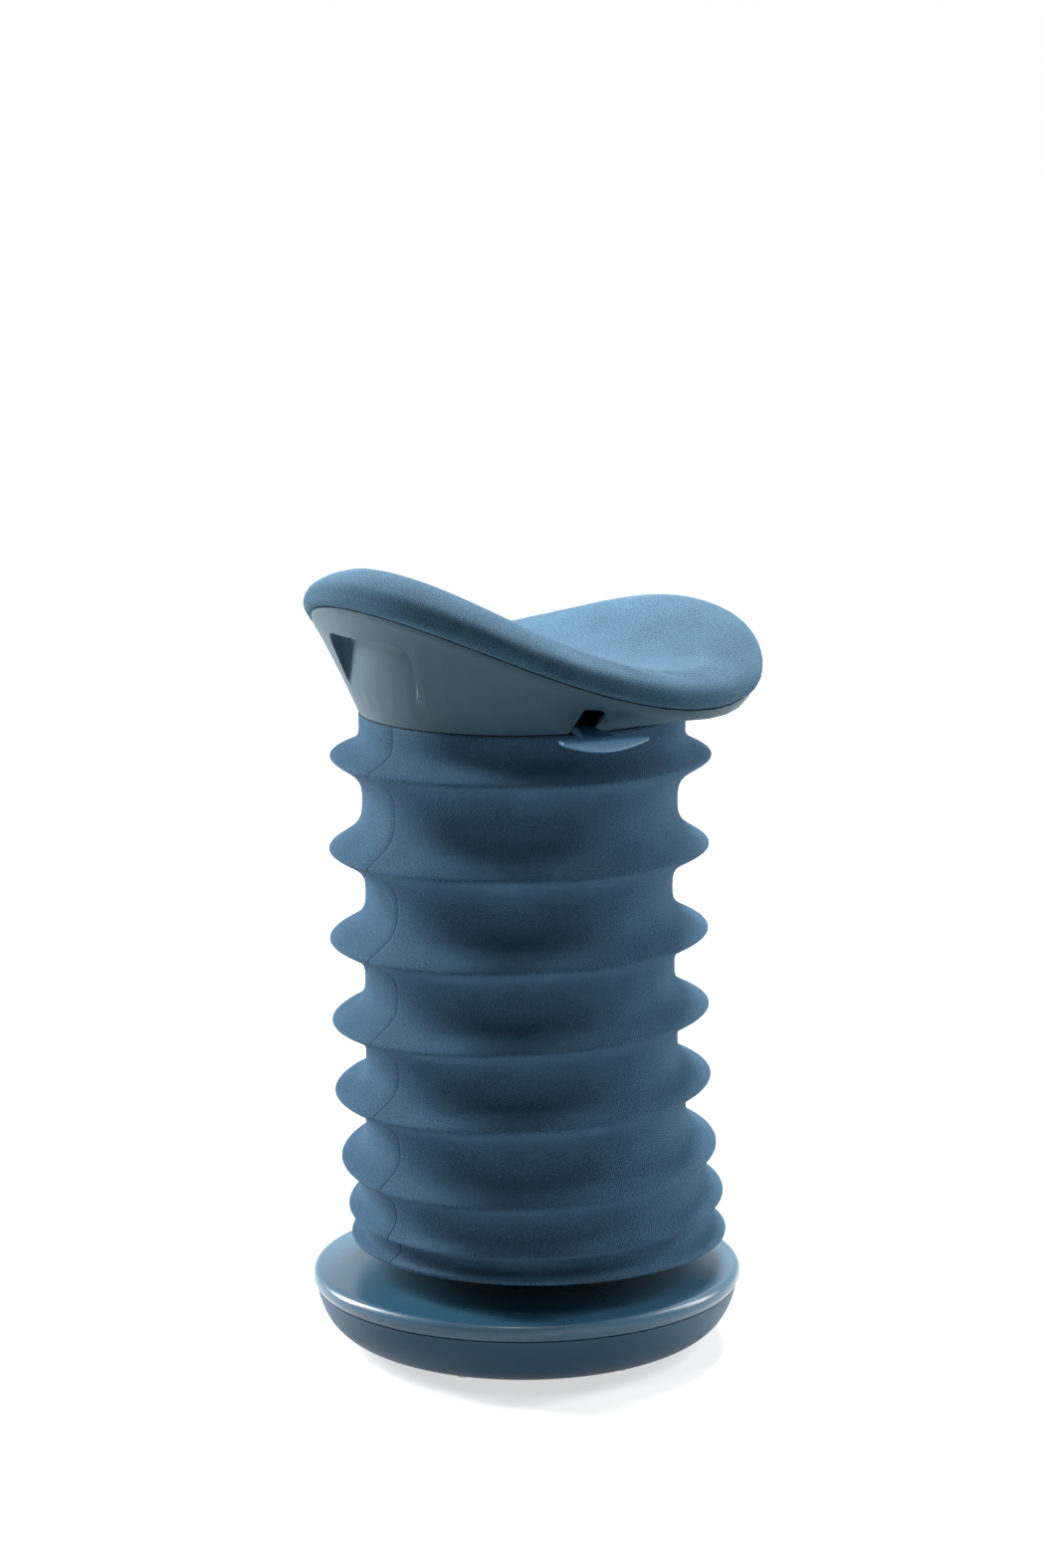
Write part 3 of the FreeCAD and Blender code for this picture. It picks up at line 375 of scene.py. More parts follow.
# Painted shade: the low places between the stitches are mixed towards the second, darker colour.
share = math_node(knit, "SUBTRACT", 1.0, math_node(
    knit, "MULTIPLY", start.outputs["Contrast"], math_node(knit, "SUBTRACT", 1.0, raised)))
share = math_node(knit, "SUBTRACT", share, uneven)
share = math_node(knit, "SUBTRACT", share, math_node(knit, "MULTIPLY", in_seam, 0.6))
colour = mix_colour(knit, share, start.outputs["Stitch Shade"], start.outputs["Yarn"])
rough = spread(knit, raised, 0.0, 1.0, 0.95, 0.78)
finish_group(knit, end, {"Color": colour, "Height": raised, "Roughness": rough})


STITCH_PITCH = 0.0021
STITCH_DEPTH = 0.0004
CLOTH_CONTRAST = 0.8


def cloth_material(name, yarn, stitch_shade, girth=1.0, seam=0.0):
    """Knitted cloth: matt, with a soft bright edge from its fibres."""
    material, tree, shader = new_material(name, Sheen_Weight=0.12, Sheen_Roughness=0.4,
                                          Sheen_Tint=(0.45, 0.75, 1.0, 1), Specular_IOR_Level=0.08)
    out = use(tree, knit, {"Yarn": yarn, "Stitch Shade": stitch_shade, "Pitch": STITCH_PITCH,
                           "Contrast": CLOTH_CONTRAST, "Girth": girth, "Seam": seam})
    link_finish(tree, shader, out, STITCH_DEPTH)
    return material


# The second colour is the painted shade between the stitches.
SEAT_CLOTH = cloth_material("seat_cloth", (0.078, 0.168, 0.25, 1), (0.015, 0.04, 0.07, 1))
print("knit group of", len(knit.nodes), "nodes, stitches", STITCH_PITCH, "m apart")

# %% [markdown]
# Moulded plastic
#
# The shell, the base and the lever are injection moulded. Such a surface has a fine grain
# that breaks up the highlight, a slight cloudiness in its gloss, and edges that catch light.
# One group gives the grain and the cloudiness from noise in the object's own coordinates,
# and paints the sharp edges in a lighter copy of the colour, a painted highlight. Each part
# picks its grain, its gloss and how strong that painted edge highlight is.

# %% Moulded group
moulded, start, end = new_group(
    "moulded", {"Color": ("Color", (1, 1, 1, 1)), "Gloss": ("Float", 0.4),
                "Grain": ("Float", 900.0), "Edge Highlight": ("Float", 0.15)},
    {"Color": "Color", "Roughness": "Float", "Height": "Float"})
place = add(moulded, "ShaderNodeTexCoord").outputs["Object"]
grain = add(moulded, "ShaderNodeTexNoise",
            {"Vector": place, "Scale": start.outputs["Grain"], "Detail": 2.0})
cloud = add(moulded, "ShaderNodeTexNoise", {"Vector": place, "Scale": 14.0, "Detail": 4.0})
# Painted highlight: where the mesh is sharp and convex, the colour is mixed towards a much lighter copy of itself.
edges = add(moulded, "ShaderNodeNewGeometry").outputs["Pointiness"]
painted_edge_highlight = math_node(moulded, "MULTIPLY", spread(moulded, edges, 0.53, 0.6), start.outputs["Edge Highlight"])
lighter = add(moulded, "ShaderNodeHueSaturation", {"Color": start.outputs["Color"], "Value": 1.9,
                                                    "Saturation": 0.8})
darker = add(moulded, "ShaderNodeHueSaturation", {"Color": start.outputs["Color"], "Value": 0.88})
body = mix_colour(moulded, spread(moulded, cloud.outputs["Fac"], 0.3, 0.7),
                  darker.outputs["Color"], start.outputs["Color"])
colour = mix_colour(moulded, painted_edge_highlight, body, lighter.outputs["Color"])
rough = math_node(moulded, "SUBTRACT", 1.0, start.outputs["Gloss"])
rough = math_node(moulded, "ADD", rough,
                  spread(moulded, cloud.outputs["Fac"], 0.3, 0.7, -0.03, 0.05))
finish_group(moulded, end, {"Color": colour, "Roughness": rough, "Height": grain.outputs["Fac"]})


# The last number sets how strongly sharp edges are painted lighter, a painted highlight.
def plastic_material(name, colour, gloss, grain=900.0, depth=0.00004, edge_highlight=0.15, **plain):
    material, tree, shader = new_material(name, **plain)
    out = use(tree, moulded, {"Color": colour, "Gloss": gloss, "Grain": grain, "Edge Highlight": edge_highlight})
    link_finish(tree, shader, out, depth)
    return material


SHELL_PLASTIC = plastic_material("shell_plastic", (0.042, 0.09, 0.12, 1), 0.45,
                                 Specular_IOR_Level=0.2)
COVER_PLASTIC = plastic_material("cover_plastic", (0.03, 0.11, 0.18, 1), 0.72, depth=0.00001,
                                 Specular_IOR_Level=0.5)
BOWL_PLASTIC = plastic_material("bowl_plastic", (0.02, 0.072, 0.125, 1), 0.5,
                                Specular_IOR_Level=0.3)
LEVER_PLASTIC = plastic_material("lever_plastic", (0.06, 0.2, 0.37, 1), 0.75, depth=0.00001)
FRAME_PLASTIC = plastic_material("frame_plastic", (0.025, 0.026, 0.028, 1), 0.42, edge_highlight=0.3)
BUSH_PLASTIC = plastic_material("bush_plastic", (0.62, 0.61, 0.56, 1), 0.5, edge_highlight=0.05)
RUBBER = plastic_material("rubber", (0.018, 0.018, 0.019, 1), 0.15, grain=500.0,
                          depth=0.00008, edge_highlight=0.4)
FOAM = plastic_material("foam", (0.48, 0.47, 0.42, 1), 0.05, grain=350.0, depth=0.0004, edge_highlight=0.0)
print("moulded group of", len(moulded.nodes), "nodes")

# %% [markdown]
# Metal
#
# Inside are zinc-plated, chromed, painted and cast parts. They differ in colour, gloss and in
# how the surface is marked: brushing leaves fine lines, casting leaves a coarse skin. A
# stretched noise gives the lines and a plain noise the skin.

# %% Metal group
metal_skin, start, end = new_group(
    "metal_skin", {"Color": ("Color", (1, 1, 1, 1)), "Roughness": ("Float", 0.3),
                   "Lines": ("Float", 1.0)},
    {"Color": "Color", "Roughness": "Float", "Height": "Float"})
place = add(metal_skin, "ShaderNodeTexCoord").outputs["Object"]
stretch = add(metal_skin, "ShaderNodeMapping", {"Vector": place, "Scale": (60.0, 60.0, 1200.0)})
brushed = add(metal_skin, "ShaderNodeTexNoise",
              {"Vector": stretch.outputs[0], "Scale": 1.0, "Detail": 3.0})
skin = add(metal_skin, "ShaderNodeTexNoise", {"Vector": place, "Scale": 260.0, "Detail": 4.0})
marks = add(metal_skin, "ShaderNodeMix", {0: start.outputs["Lines"], 2: skin.outputs["Fac"],
                                          3: brushed.outputs["Fac"]}).outputs[0]
dull = add(metal_skin, "ShaderNodeHueSaturation", {"Color": start.outputs["Color"], "Value": 0.75})
colour = mix_colour(metal_skin, spread(metal_skin, marks, 0.3, 0.7),
                    dull.outputs["Color"], start.outputs["Color"])
rough = math_node(metal_skin, "ADD", start.outputs["Roughness"],
                  spread(metal_skin, marks, 0.3, 0.7, 0.08, -0.04))
finish_group(metal_skin, end, {"Color": colour, "Roughness": rough, "Height": marks})


def metal_material(name, colour, roughness, lines, metallic=1.0, depth=0.00002):
    material, tree, shader = new_material(name, Metallic=metallic)
    out = use(tree, metal_skin, {"Color": colour, "Roughness": roughness, "Lines": lines})
    link_finish(tree, shader, out, depth)
    return material


STEEL = metal_material("zinc_steel", (0.52, 0.53, 0.54, 1), 0.32, 0.6)
CHROME = metal_material("hard_chrome", (0.72, 0.73, 0.75, 1), 0.1, 1.0, depth=0.000005)
WIRE = metal_material("spring_wire", (0.42, 0.43, 0.45, 1), 0.35, 0.3)
PAINTED = metal_material("painted_steel", (0.022, 0.022, 0.024, 1), 0.45, 0.0,
                         metallic=0.0, depth=0.00006)
IRON = metal_material("cast_iron", (0.07, 0.07, 0.075, 1), 0.6, 0.0, metallic=0.4, depth=0.0002)
print("metal group of", len(metal_skin.nodes), "nodes")

# %% [markdown]
# Dress the rigid parts
#
# The rigid parts keep their shape from the frame. Only their finish is new, and their
# shading: the parts are welded and split again at sharp edges, so that curved faces look
# smooth and real edges stay crisp.

# %% Finish of each rigid part
HOOP_NODES = ["hoop_%d" % (i + 1) for i in range(8)]
FINISHES = {
    BOWL_PLASTIC: ["base_bowl"],
    COVER_PLASTIC: ["base_cover"],
    SHELL_PLASTIC: ["seat_shell"],
    LEVER_PLASTIC: ["lever_handle"],
    FRAME_PLASTIC: ["seat_pan", "bellows_bottom_ring", "bellows_top_ring", "bellows_carrier"],
    BUSH_PLASTIC: ["guide_bush", "slip_ring", "cylinder_end_guide", "piston"],
    RUBBER: ["floor_pad", "swing_buffer"],
    STEEL: ["cover_screws", "ballast_screws", "bracket_screws", "base_swing_pins", "hub_swing_pins",
            "tube_end_cap", "thrust_washers", "thrust_balls", "rod_clip", "valve_button",
            "bottom_ring_screws", "shell_screws", "lever_pivot_pin", "seat_plate_screws",
            "carrier_clip", "lever_arm"],
    CHROME: ["piston_rod", "gas_cylinder"],
    WIRE: HOOP_NODES,
    PAINTED: ["swing_bracket", "swing_ring", "swing_hub", "column_tube", "seat_plate"],
    IRON: ["ballast_plate"],
    FOAM: ["seat_foam"],
}
SHARP_ANGLE = radians(32)
WELD_REACH = 0.00001


def soften(thing, sharp=SHARP_ANGLE):
    """Smooth shading that stops at edges sharper than an angle."""
    mesh = thing.data
    if "custom_normal" in mesh.attributes:
        mesh.attributes.remove(mesh.attributes["custom_normal"])
    mesh.polygons.foreach_set("use_smooth", [True] * len(mesh.polygons))
    weld = thing.modifiers.new("weld", "WELD")
    weld.merge_threshold = WELD_REACH
    split = thing.modifiers.new("split", "EDGE_SPLIT")
    split.split_angle = sharp


def dress(thing, material):
    thing.data.materials.clear()
    thing.data.materials.append(material)


for material, names in FINISHES.items():
    for name in names:
        dress(frame["nodes"][name], material)
        soften(frame["nodes"][name])
print("dressed", sum(len(names) for names in FINISHES.values()), "rigid parts")

# %% [markdown]
# New meshes
#
# Where the frame's own mesh is too coarse or too stiff, a piece is built anew from points and
# faces. Its shape is measured on the frame's part by rays, so that it fits the others. A piece
# of cloth also gets a UV map in metres for the knit.


# %% Helpers for new meshes
def node_tree(name):
    return BVHTree.FromObject(frame["nodes"][name], bpy.context.evaluated_depsgraph_get())


def new_piece(name, points, faces, material, uv=None, smooth=True):
    """Mesh object from points and faces, with a UV map in metres if one is given."""
    mesh = bpy.data.meshes.new(name)
    mesh.from_pydata([tuple(p) for p in points], [], faces)
    mesh.polygons.foreach_set("use_smooth", [smooth] * len(mesh.polygons))
    if uv is not None:
        layer = mesh.uv_layers.new(name="cloth")
        layer.data.foreach_set("uv", np.array(uv, np.float32).ravel())
    thing = bpy.data.objects.new(name, mesh)
    bpy.context.scene.collection.objects.link(thing)
    mesh.materials.append(material)
    return thing


UP = Vector((0, 0, 1))
FAR = 0.3
HIGH = 0.8
print("rays start", FAR, "m from the axis or", HIGH, "m up")

# %% [markdown]
# Cover of the base
#
# The cover is glossy, and a glossy surface shows every facet of a mesh. The frame's own mesh is
# right in shape but too coarse for that, so the cover is turned anew. First rays read its
# outline, from the rim over the shoulder and in to the hole for the column.

# %% Read the cover's outline
COVER_LOOK = 15.0
COVER_CORE = 0.16
COVER_STEPS = 40
RIM_STEP = 0.0002
SHOULDER_REACH = 0.1
CROWN_STEP = 0.004
CROWN_DEPTH = 0.02
base_tree = node_tree("base_cover")
base_low, base_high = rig.box("base_cover")
look = around(1, COVER_LOOK)
rim_height = base_low.z


def rim_found(height):
    start = look * FAR + Vector((0, 0, height))
    return base_tree.ray_cast(start, -look, FAR - COVER_CORE)[0] is not None


while not rim_found(rim_height):
    rim_height += RIM_STEP
core = look * COVER_CORE + Vector((0, 0, rim_height))
outline = []
for step in range(COVER_STEPS + 1):
    tilt = pi / 2 * step / COVER_STEPS
    aim = look * cos(tilt) + Vector((0, 0, sin(tilt)))
    hit = base_tree.ray_cast(core + aim * SHOULDER_REACH, -aim)[0]
    outline.append((hypot(hit.x, hit.y), hit.z))
reach = COVER_CORE
while reach > 0:
    reach -= CROWN_STEP
    hit = base_tree.ray_cast(look * reach + Vector((0, 0, FAR)), -UP, FAR - base_low.z)[0]
    if hit is None or hit.z < base_high.z - CROWN_DEPTH:
        break
    outline.append((reach, hit.z))
print("rim", round(rim_height, 4), "outline", len(outline), "points to", outline[-1])

# %% [markdown]
# Then the outline gets a wall inside it, and goes round the axis in fine steps, as on a lathe.

# %% Turn the base cover
COVER_WALL = 0.0025
TURN_COLUMNS = 240


def turned_piece(name, outline, material):
    """Closed outline of reach and height, turned round the axis."""
    count = len(outline)
    points = [around(reach, 360 * c / TURN_COLUMNS, height)
              for c in range(TURN_COLUMNS) for reach, height in outline]
    faces = []
    for c in range(TURN_COLUMNS):
        d = (c + 1) % TURN_COLUMNS
        for i in range(count):
            j = (i + 1) % count
            faces.append((c * count + i, d * count + i, d * count + j, c * count + j))
    return new_piece(name, points, faces, material)


inner = []
for i, (reach, height) in enumerate(outline):
    before, after = outline[max(i - 1, 0)], outline[min(i + 1, len(outline) - 1)]
    along = Vector((after[0] - before[0], after[1] - before[1])).normalized()
    inner.append((reach - along.y * COVER_WALL, height + along.x * COVER_WALL))
base_cover = turned_piece("base_cover_shell", outline + inner[::-1], COVER_PLASTIC)
split = base_cover.modifiers.new("split", "EDGE_SPLIT")
split.split_angle = SHARP_ANGLE
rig.replaces(base_cover, "base_cover")
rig.slot(base_cover, "cover_plastic")
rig.ride(base_cover, "base")
print("base cover", len(base_cover.data.polygons), "faces")

# %% [markdown]
# Lever
#
# The lever is a small glossy moulding, so it needs soft corners that catch the light. A fine
# voxel remesh of the frame's own solid and a few smoothing passes round every edge at once.

# %% Round the lever
LEVER_VOXEL = 0.0007
LEVER_PASSES = 16
lever = bpy.data.objects.new("lever", frame["nodes"]["lever_handle"].data.copy())
bpy.context.scene.collection.objects.link(lever)
remesh = lever.modifiers.new("remesh", "REMESH")
remesh.mode = "VOXEL"
remesh.voxel_size = LEVER_VOXEL
remesh.use_smooth_shade = True
even = lever.modifiers.new("even", "SMOOTH")
even.factor = 0.5
even.iterations = LEVER_PASSES
dress(lever, LEVER_PLASTIC)
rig.replaces(lever, "lever_handle")
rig.slot(lever, "lever_plastic")
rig.ride(lever, "lever")
print("lever rounded over", LEVER_PASSES, "passes")

# %% [markdown]
# Bellows
#
# The bellows is a tube of cloth over eight wire hoops. Between two hoops it draws in to a
# waist, and at each hoop it turns over the wire in a tight round. It could be simulated, but
# the folds hang where the hoops are, so it is lofted: every ring of the mesh lies between two
# hoops, and leans and shifts with them. The places come from the hoops in the frame.

# %% Where the hoops hang
LOW_HEM_LOOK = 0.001
HIGH_HEM_LOOK = 0.002
LEAST_WAIST = 0.012


def node_points(name):
    mesh = frame["nodes"][name].data
    points = np.empty(len(mesh.vertices) * 3, np.float32)
    mesh.vertices.foreach_get("co", points)
    return points.reshape(-1, 3).astype(float)


def hoop_place(name):
    """Centre and upward normal of a ring of wire."""
    points = node_points(name)
    centre = (points.max(0) + points.min(0)) / 2
    normal = np.linalg.svd(points - centre, full_matrices=False)[2][2]
    return Vector(centre), Vector(normal * np.sign(normal[2]))


hoops = [hoop_place(name) for name in HOOP_NODES]
cloth_tree = node_tree("bellows_fabric")


def cloth_radius(centre, normal, samples=24):
    """Mean outer radius of the bellows at a level, found by rays shot inwards."""
    side = normal.cross(Vector((0, 1, 0))).normalized()
    other = normal.cross(side)
    found = []
    for i in range(samples):
        turn = 2 * pi * i / samples
        way = side * cos(turn) + other * sin(turn)
        hit = cloth_tree.ray_cast(centre + way * FAR, -way)[0]
        found.append((hit - centre).length)
    return sum(found) / samples


low_z, top_z = (corner.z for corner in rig.box("bellows_fabric"))
low_hem_radius = cloth_radius(Vector((0, 0, low_z + LOW_HEM_LOOK)), UP)
high_hem_radius = cloth_radius(Vector((0, 0, top_z - HIGH_HEM_LOOK)), UP)
crest_radius = sum(cloth_radius(*hoop) for hoop in hoops) / len(hoops)
waists = []
for (high, high_normal), (low, low_normal) in zip(hoops, hoops[1:]):
    between = cloth_radius((high + low) / 2, ((high_normal + low_normal) / 2).normalized())
    waists.append(max(crest_radius - between, LEAST_WAIST))
print("crest", round(crest_radius, 4), "waists", [round(w, 4) for w in waists])


# %% [markdown]
# Loft the cloth
#
# A fold's profile is the same formula everywhere: near the hoop the cloth leaves the wire in
# a tight round, and then it flattens towards the waist. The rows lie closer near the hoops,
# where the cloth turns most.

# %% Profile of the folds
HEM_LENGTH = 0.014
HEM_HEIGHT = 0.003
HEM_ROWS = 4
FOLD_SOFTNESS = 0.0055
FOLD_POWER = 3.3
ROWS_PER_FOLD = 20
CROWDING = 0.78
# Under the last hoop: how far down, how far back to the axis, and how far in to the low hem.
UNDER_HOOP = ((0, 0, 0), (0.0016, 0, 0.006), (0.0026, 0, 0.033), (0.0032, 0, 0.09),
              (0.0036, 0.1, 0.25), (0.0042, 0.4, 0.5), (0.0049, 0.75, 0.8))


def drawn(share, half_pitch, depth):
    """How far the cloth draws in at a share of the way from a hoop to the waist."""
    def soft(reach):
        return sqrt(reach * reach + FOLD_SOFTNESS ** 2) - FOLD_SOFTNESS
    return depth * (1 - (1 - soft(share * half_pitch) / soft(half_pitch)) ** FOLD_POWER)


def crowd(step, steps):
    """Share of the way down a fold; the steps crowd at both of its ends."""
    share = step / steps
    return share - CROWDING * sin(2 * pi * share) / (2 * pi)


levels = []
for step in range(HEM_ROWS):
    levels.append((Vector((0, 0, top_z - HEM_LENGTH * step / HEM_ROWS)), UP, high_hem_radius))
first, first_normal = hoops[0]
hem = Vector((0, 0, top_z - HEM_LENGTH))
stretch = (hem - first).length
for step in range(ROWS_PER_FOLD // 2):
    share = 1 - crowd(ROWS_PER_FOLD // 2 + step, ROWS_PER_FOLD) * 2 + 1
    radius = crest_radius - drawn(share, stretch, crest_radius - high_hem_radius)
    levels.append((first.lerp(hem, share), first_normal.lerp(UP, share), radius))
for (high, high_normal), (low, low_normal), depth in zip(hoops, hoops[1:], waists):
    pitch = (high - low).length
    for step in range(ROWS_PER_FOLD):
        share = crowd(step, ROWS_PER_FOLD)
        radius = crest_radius - drawn(2 * min(share, 1 - share), pitch / 2, depth)
        levels.append((high.lerp(low, share), high_normal.lerp(low_normal, share), radius))
last = hoops[-1][0]
for drop, inward, draw in UNDER_HOOP:
    levels.append((Vector((last.x * (1 - inward), last.y * (1 - inward), last.z - drop)), UP,
                   crest_radius + (low_hem_radius - crest_radius) * draw))
for rise in (HEM_HEIGHT, HEM_HEIGHT / 2, 0):
    levels.append((Vector((0, 0, low_z + rise)), UP, low_hem_radius))
print("levels", len(levels))

# %% [markdown]
# Each level becomes a ring of points, and quads join the rings. The cloth's UV map is laid out
# in metres along and round it. One column of points is pinched in, where the tube is sewn.

# %% Loft the bellows
CLOTH_COLUMNS = 288
SEAM_ANGLE = 93.0
SEAM_PINCH = 0.0007
SEAM_WIDTH = 0.0006


def ring_points(centre, normal, radius, angles):
    """Points of a leaning ring, each at its compass angle."""
    normal = normal.normalized()
    points = []
    for angle in angles:
        way = Vector((cos(angle), sin(angle), 0))
        way.z = -(way.x * normal.x + way.y * normal.y) / normal.z
        points.append(centre + way.normalized() * radius)
    return points


def grid_piece(name, rows, girth, material):
    """Quads between rows of points that close round the axis, with its UV map in metres."""
    columns = len(rows[0])
    along = [0.0]
    for a, b in zip(rows, rows[1:]):
        along.append(along[-1] + sum((p - q).length for p, q in zip(a, b)) / columns)
    faces, uv = [], []
    for r in range(len(rows) - 1):
        for c in range(columns):
            d = (c + 1) % columns
            faces.append((r * columns + c, (r + 1) * columns + c,
                          (r + 1) * columns + d, r * columns + d))
            for row, column in ((r, c), (r + 1, c), (r + 1, c + 1), (r, c + 1)):
                uv.append((girth * column / columns, along[row]))
    points = [p for row in rows for p in row]
    return new_piece(name, points, faces, material, uv), along[-1]


angles = [radians(SEAM_ANGLE) + 2 * pi * i / CLOTH_COLUMNS for i in range(CLOTH_COLUMNS)]
rows = [ring_points(centre, normal, radius, angles) for centre, normal, radius in levels]
for row in rows:
    row[0] -= Vector((row[0].x, row[0].y, 0)).normalized() * SEAM_PINCH
girth = sum((p - q).length for p, q in zip(rows[0], rows[0][1:] + rows[0][:1]))
# Its second colour is the painted shade between the stitches.
BELLOWS_CLOTH = cloth_material("bellows_cloth", (0.078, 0.168, 0.265, 1),
                               (0.013, 0.034, 0.062, 1), girth, SEAM_WIDTH)
bellows, bellows_length = grid_piece("bellows", rows, girth, BELLOWS_CLOTH)
print("cloth tube", round(2 * pi * high_hem_radius, 3), "round,", round(bellows_length, 3), "along")

# %% [markdown]
# The bellows stretches when the seat goes up: its lower hem is on the column and its upper
# hem on the carriage, which the lift joint joins. The blend runs from hem to hem, by the same
# smooth curve that the hoops follow. A hoop that lies at a slant has one side higher than the
# other, and the cloth there moves more: a stiff wire would come through it when the seat goes
# down. So the wires bend by the same blend as the cloth and stay inside their folds.

# %% Hang the bellows on its joint
CLOTH_THICKNESS = 0.0008
thickness = bellows.modifiers.new("thickness", "SOLIDIFY")
thickness.thickness = CLOTH_THICKNESS
thickness.offset = -1
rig.replaces(bellows, "bellows_fabric")
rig.slot(bellows, "bellows_fabric")
LOW_HEM, HIGH_HEM = (0, 0, low_z), (0, 0, top_z)
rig.blend(bellows, "column", "carriage", start=LOW_HEM, end=HIGH_HEM)
for name in HOOP_NODES:
    hoop = frame["nodes"][name]
    wire = bpy.data.objects.new(name.replace("hoop", "hoop_wire"), hoop.data.copy())
    wire.matrix_world = hoop.matrix_world
    bpy.context.scene.collection.objects.link(wire)
    soften(wire)
    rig.replaces(wire, name)
    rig.slot(wire, "hoop_wire")
    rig.blend(wire, "column", "carriage", start=LOW_HEM, end=HIGH_HEM)
print("blended the cloth and", len(HOOP_NODES), "wires")

# %% [markdown]
# Seat cushion
#
# The cushion is moulded foam in a tight cover. Its rim is a closed loop that dips at the
# sides and rises front and rear, and its top is a saddle. The shape could be modelled by hand,
# but it has to sit on the shell, so it is measured: rays shot at the frame's cover give each
# ring of the mesh. The frame's cover is faceted, and a short sum of waves round each ring
# makes it smooth.

# %% Helpers for the seat
WAVES = 10
SEAT_COLUMNS = 240
SEAT_SAMPLES = 144


def waves(turn):
    return [1.0] + [f(k * turn) for k in range(1, WAVES) for f in (cos, sin)]


WAVE_TABLE = np.array([waves(2 * pi * i / SEAT_SAMPLES) for i in range(SEAT_SAMPLES)])
WAVE_FIT = np.linalg.pinv(WAVE_TABLE)
FINE_WAVES = np.array([waves(2 * pi * i / SEAT_COLUMNS) for i in range(SEAT_COLUMNS)])


def smooth_ring(measure):
    """Reach and height measured all round, and given back as smooth fine columns."""
    measured = np.array([measure(2 * pi * i / SEAT_SAMPLES) for i in range(SEAT_SAMPLES)])
    return FINE_WAVES @ (WAVE_FIT @ measured)


def ring_at(fine):
    return [Vector((r * cos(2 * pi * i / SEAT_COLUMNS), r * sin(2 * pi * i / SEAT_COLUMNS), z))
            for i, (r, z) in enumerate(fine)]


print("rings of", SEAT_COLUMNS, "columns from", SEAT_SAMPLES, "samples and", WAVES, "waves")

# %% [markdown]
# The cover's seam against the shell is its lowest outer edge. Rays climb from below at every
# compass turn until one meets the cover. The ray stops short of the axis, so that it can't meet
# the far side of the saddle.

# %% Rim of the seat
cover_tree = node_tree("seat_cover")
cover_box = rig.box("seat_cover")
PROBE_STEP = 0.0005
PROBE_END = 0.15
EDGE_REACH = 0.2


def cover_hit(origin, way):
    hit = cover_tree.ray_cast(origin, way)[0]
    hit = hit or cover_tree.find_nearest(origin + way * EDGE_REACH)[0]
    return hypot(hit.x, hit.y), hit.z


def seam_of(turn):
    """Reach and height of the cover's lowest outer edge at a compass turn."""
    way = Vector((cos(turn), sin(turn), 0))
    z = cover_box[0].z - 2 * PROBE_STEP
    while z < cover_box[1].z:
        hit = cover_tree.ray_cast(way * FAR + Vector((0, 0, z)), -way, FAR - PROBE_END)[0]
        if hit is not None:
            return hypot(hit.x, hit.y), z
        z += PROBE_STEP
    return PROBE_END, cover_box[1].z


seam = smooth_ring(seam_of)
print("seam from", round(float(seam[:, 1].min()), 4), "to", round(float(seam[:, 1].max()), 4))

# %% [markdown]
# From the seam the cover rolls out over a full edge, up to its crest, and falls into the dish.
# The edge is measured from a point inside the edge, turning from below to straight up. The dish
# is measured from above. Under the cushion the rings follow the foam, down to the pan.

# %% Measure the cushion
EDGE_INSET = 0.0316
EDGE_RISE = 0.0095
EDGE_STEPS = 26
DISH_STEPS = 34
LOWEST_LOOK = radians(-12)


# The middle of a fan is looked at just off the axis, clear of the mesh's own middle point.
OFF_AXIS = 0.0005
# Insets and rises of the rings that turn in under the cover's edge.
TUCK = ((0.02, 0.0025), (0.009, 0.0008), (0.0035, -0.0004), (0.0005, -0.0002))
seam_samples = [seam_of(2 * pi * i / SEAT_SAMPLES) for i in range(SEAT_SAMPLES)]
seam_weights = WAVE_FIT @ np.array(seam_samples)


def seam_at(turn):
    """The seam at any turn, from its waves."""
    return np.array(waves(turn)) @ seam_weights


def edge_ring(look):
    def measure(turn):
        reach, height = seam_at(turn)
        way = Vector((cos(turn), sin(turn), 0))
        inner = way * (reach - EDGE_INSET) + Vector((0, 0, height + EDGE_RISE))
        aim = way * cos(look) + Vector((0, 0, sin(look)))
        return cover_hit(inner + aim * EDGE_REACH, -aim)
    return smooth_ring(measure)


def dish_ring(share):
    def measure(turn):
        reach = seam_at(turn)[0] - EDGE_INSET
        way = Vector((cos(turn), sin(turn), 0))
        height = cover_hit(way * (reach * share) + Vector((0, 0, HIGH)), -UP)[1]
        return reach * share, height
    return smooth_ring(measure)


def below(ring, inset, rise):
    return ring + np.array([-inset, rise])


edge_rings = [edge_ring(LOWEST_LOOK + (pi / 2 - LOWEST_LOOK) * i / EDGE_STEPS)
              for i in range(EDGE_STEPS + 1)]
dish_rings = [dish_ring(1 - i / DISH_STEPS) for i in range(1, DISH_STEPS)]
seat_rings = [below(seam, inset, rise) for inset, rise in TUCK] + edge_rings + dish_rings
seat_rows = [ring_at(ring) for ring in seat_rings]
crest = max(float(ring[:, 1].max()) for ring in seat_rings)
print("cushion rings", len(seat_rows), "crest", round(crest, 4))

# %% [markdown]
# Quads join the rings, and a fan closes each middle. The UV map lays the cover out flat round
# its middle, in metres, so the stitches keep their size from the dish over the edge.


# %% Build the cushion
UNDER_RINGS = 8
UNDER_INSET = 0.03


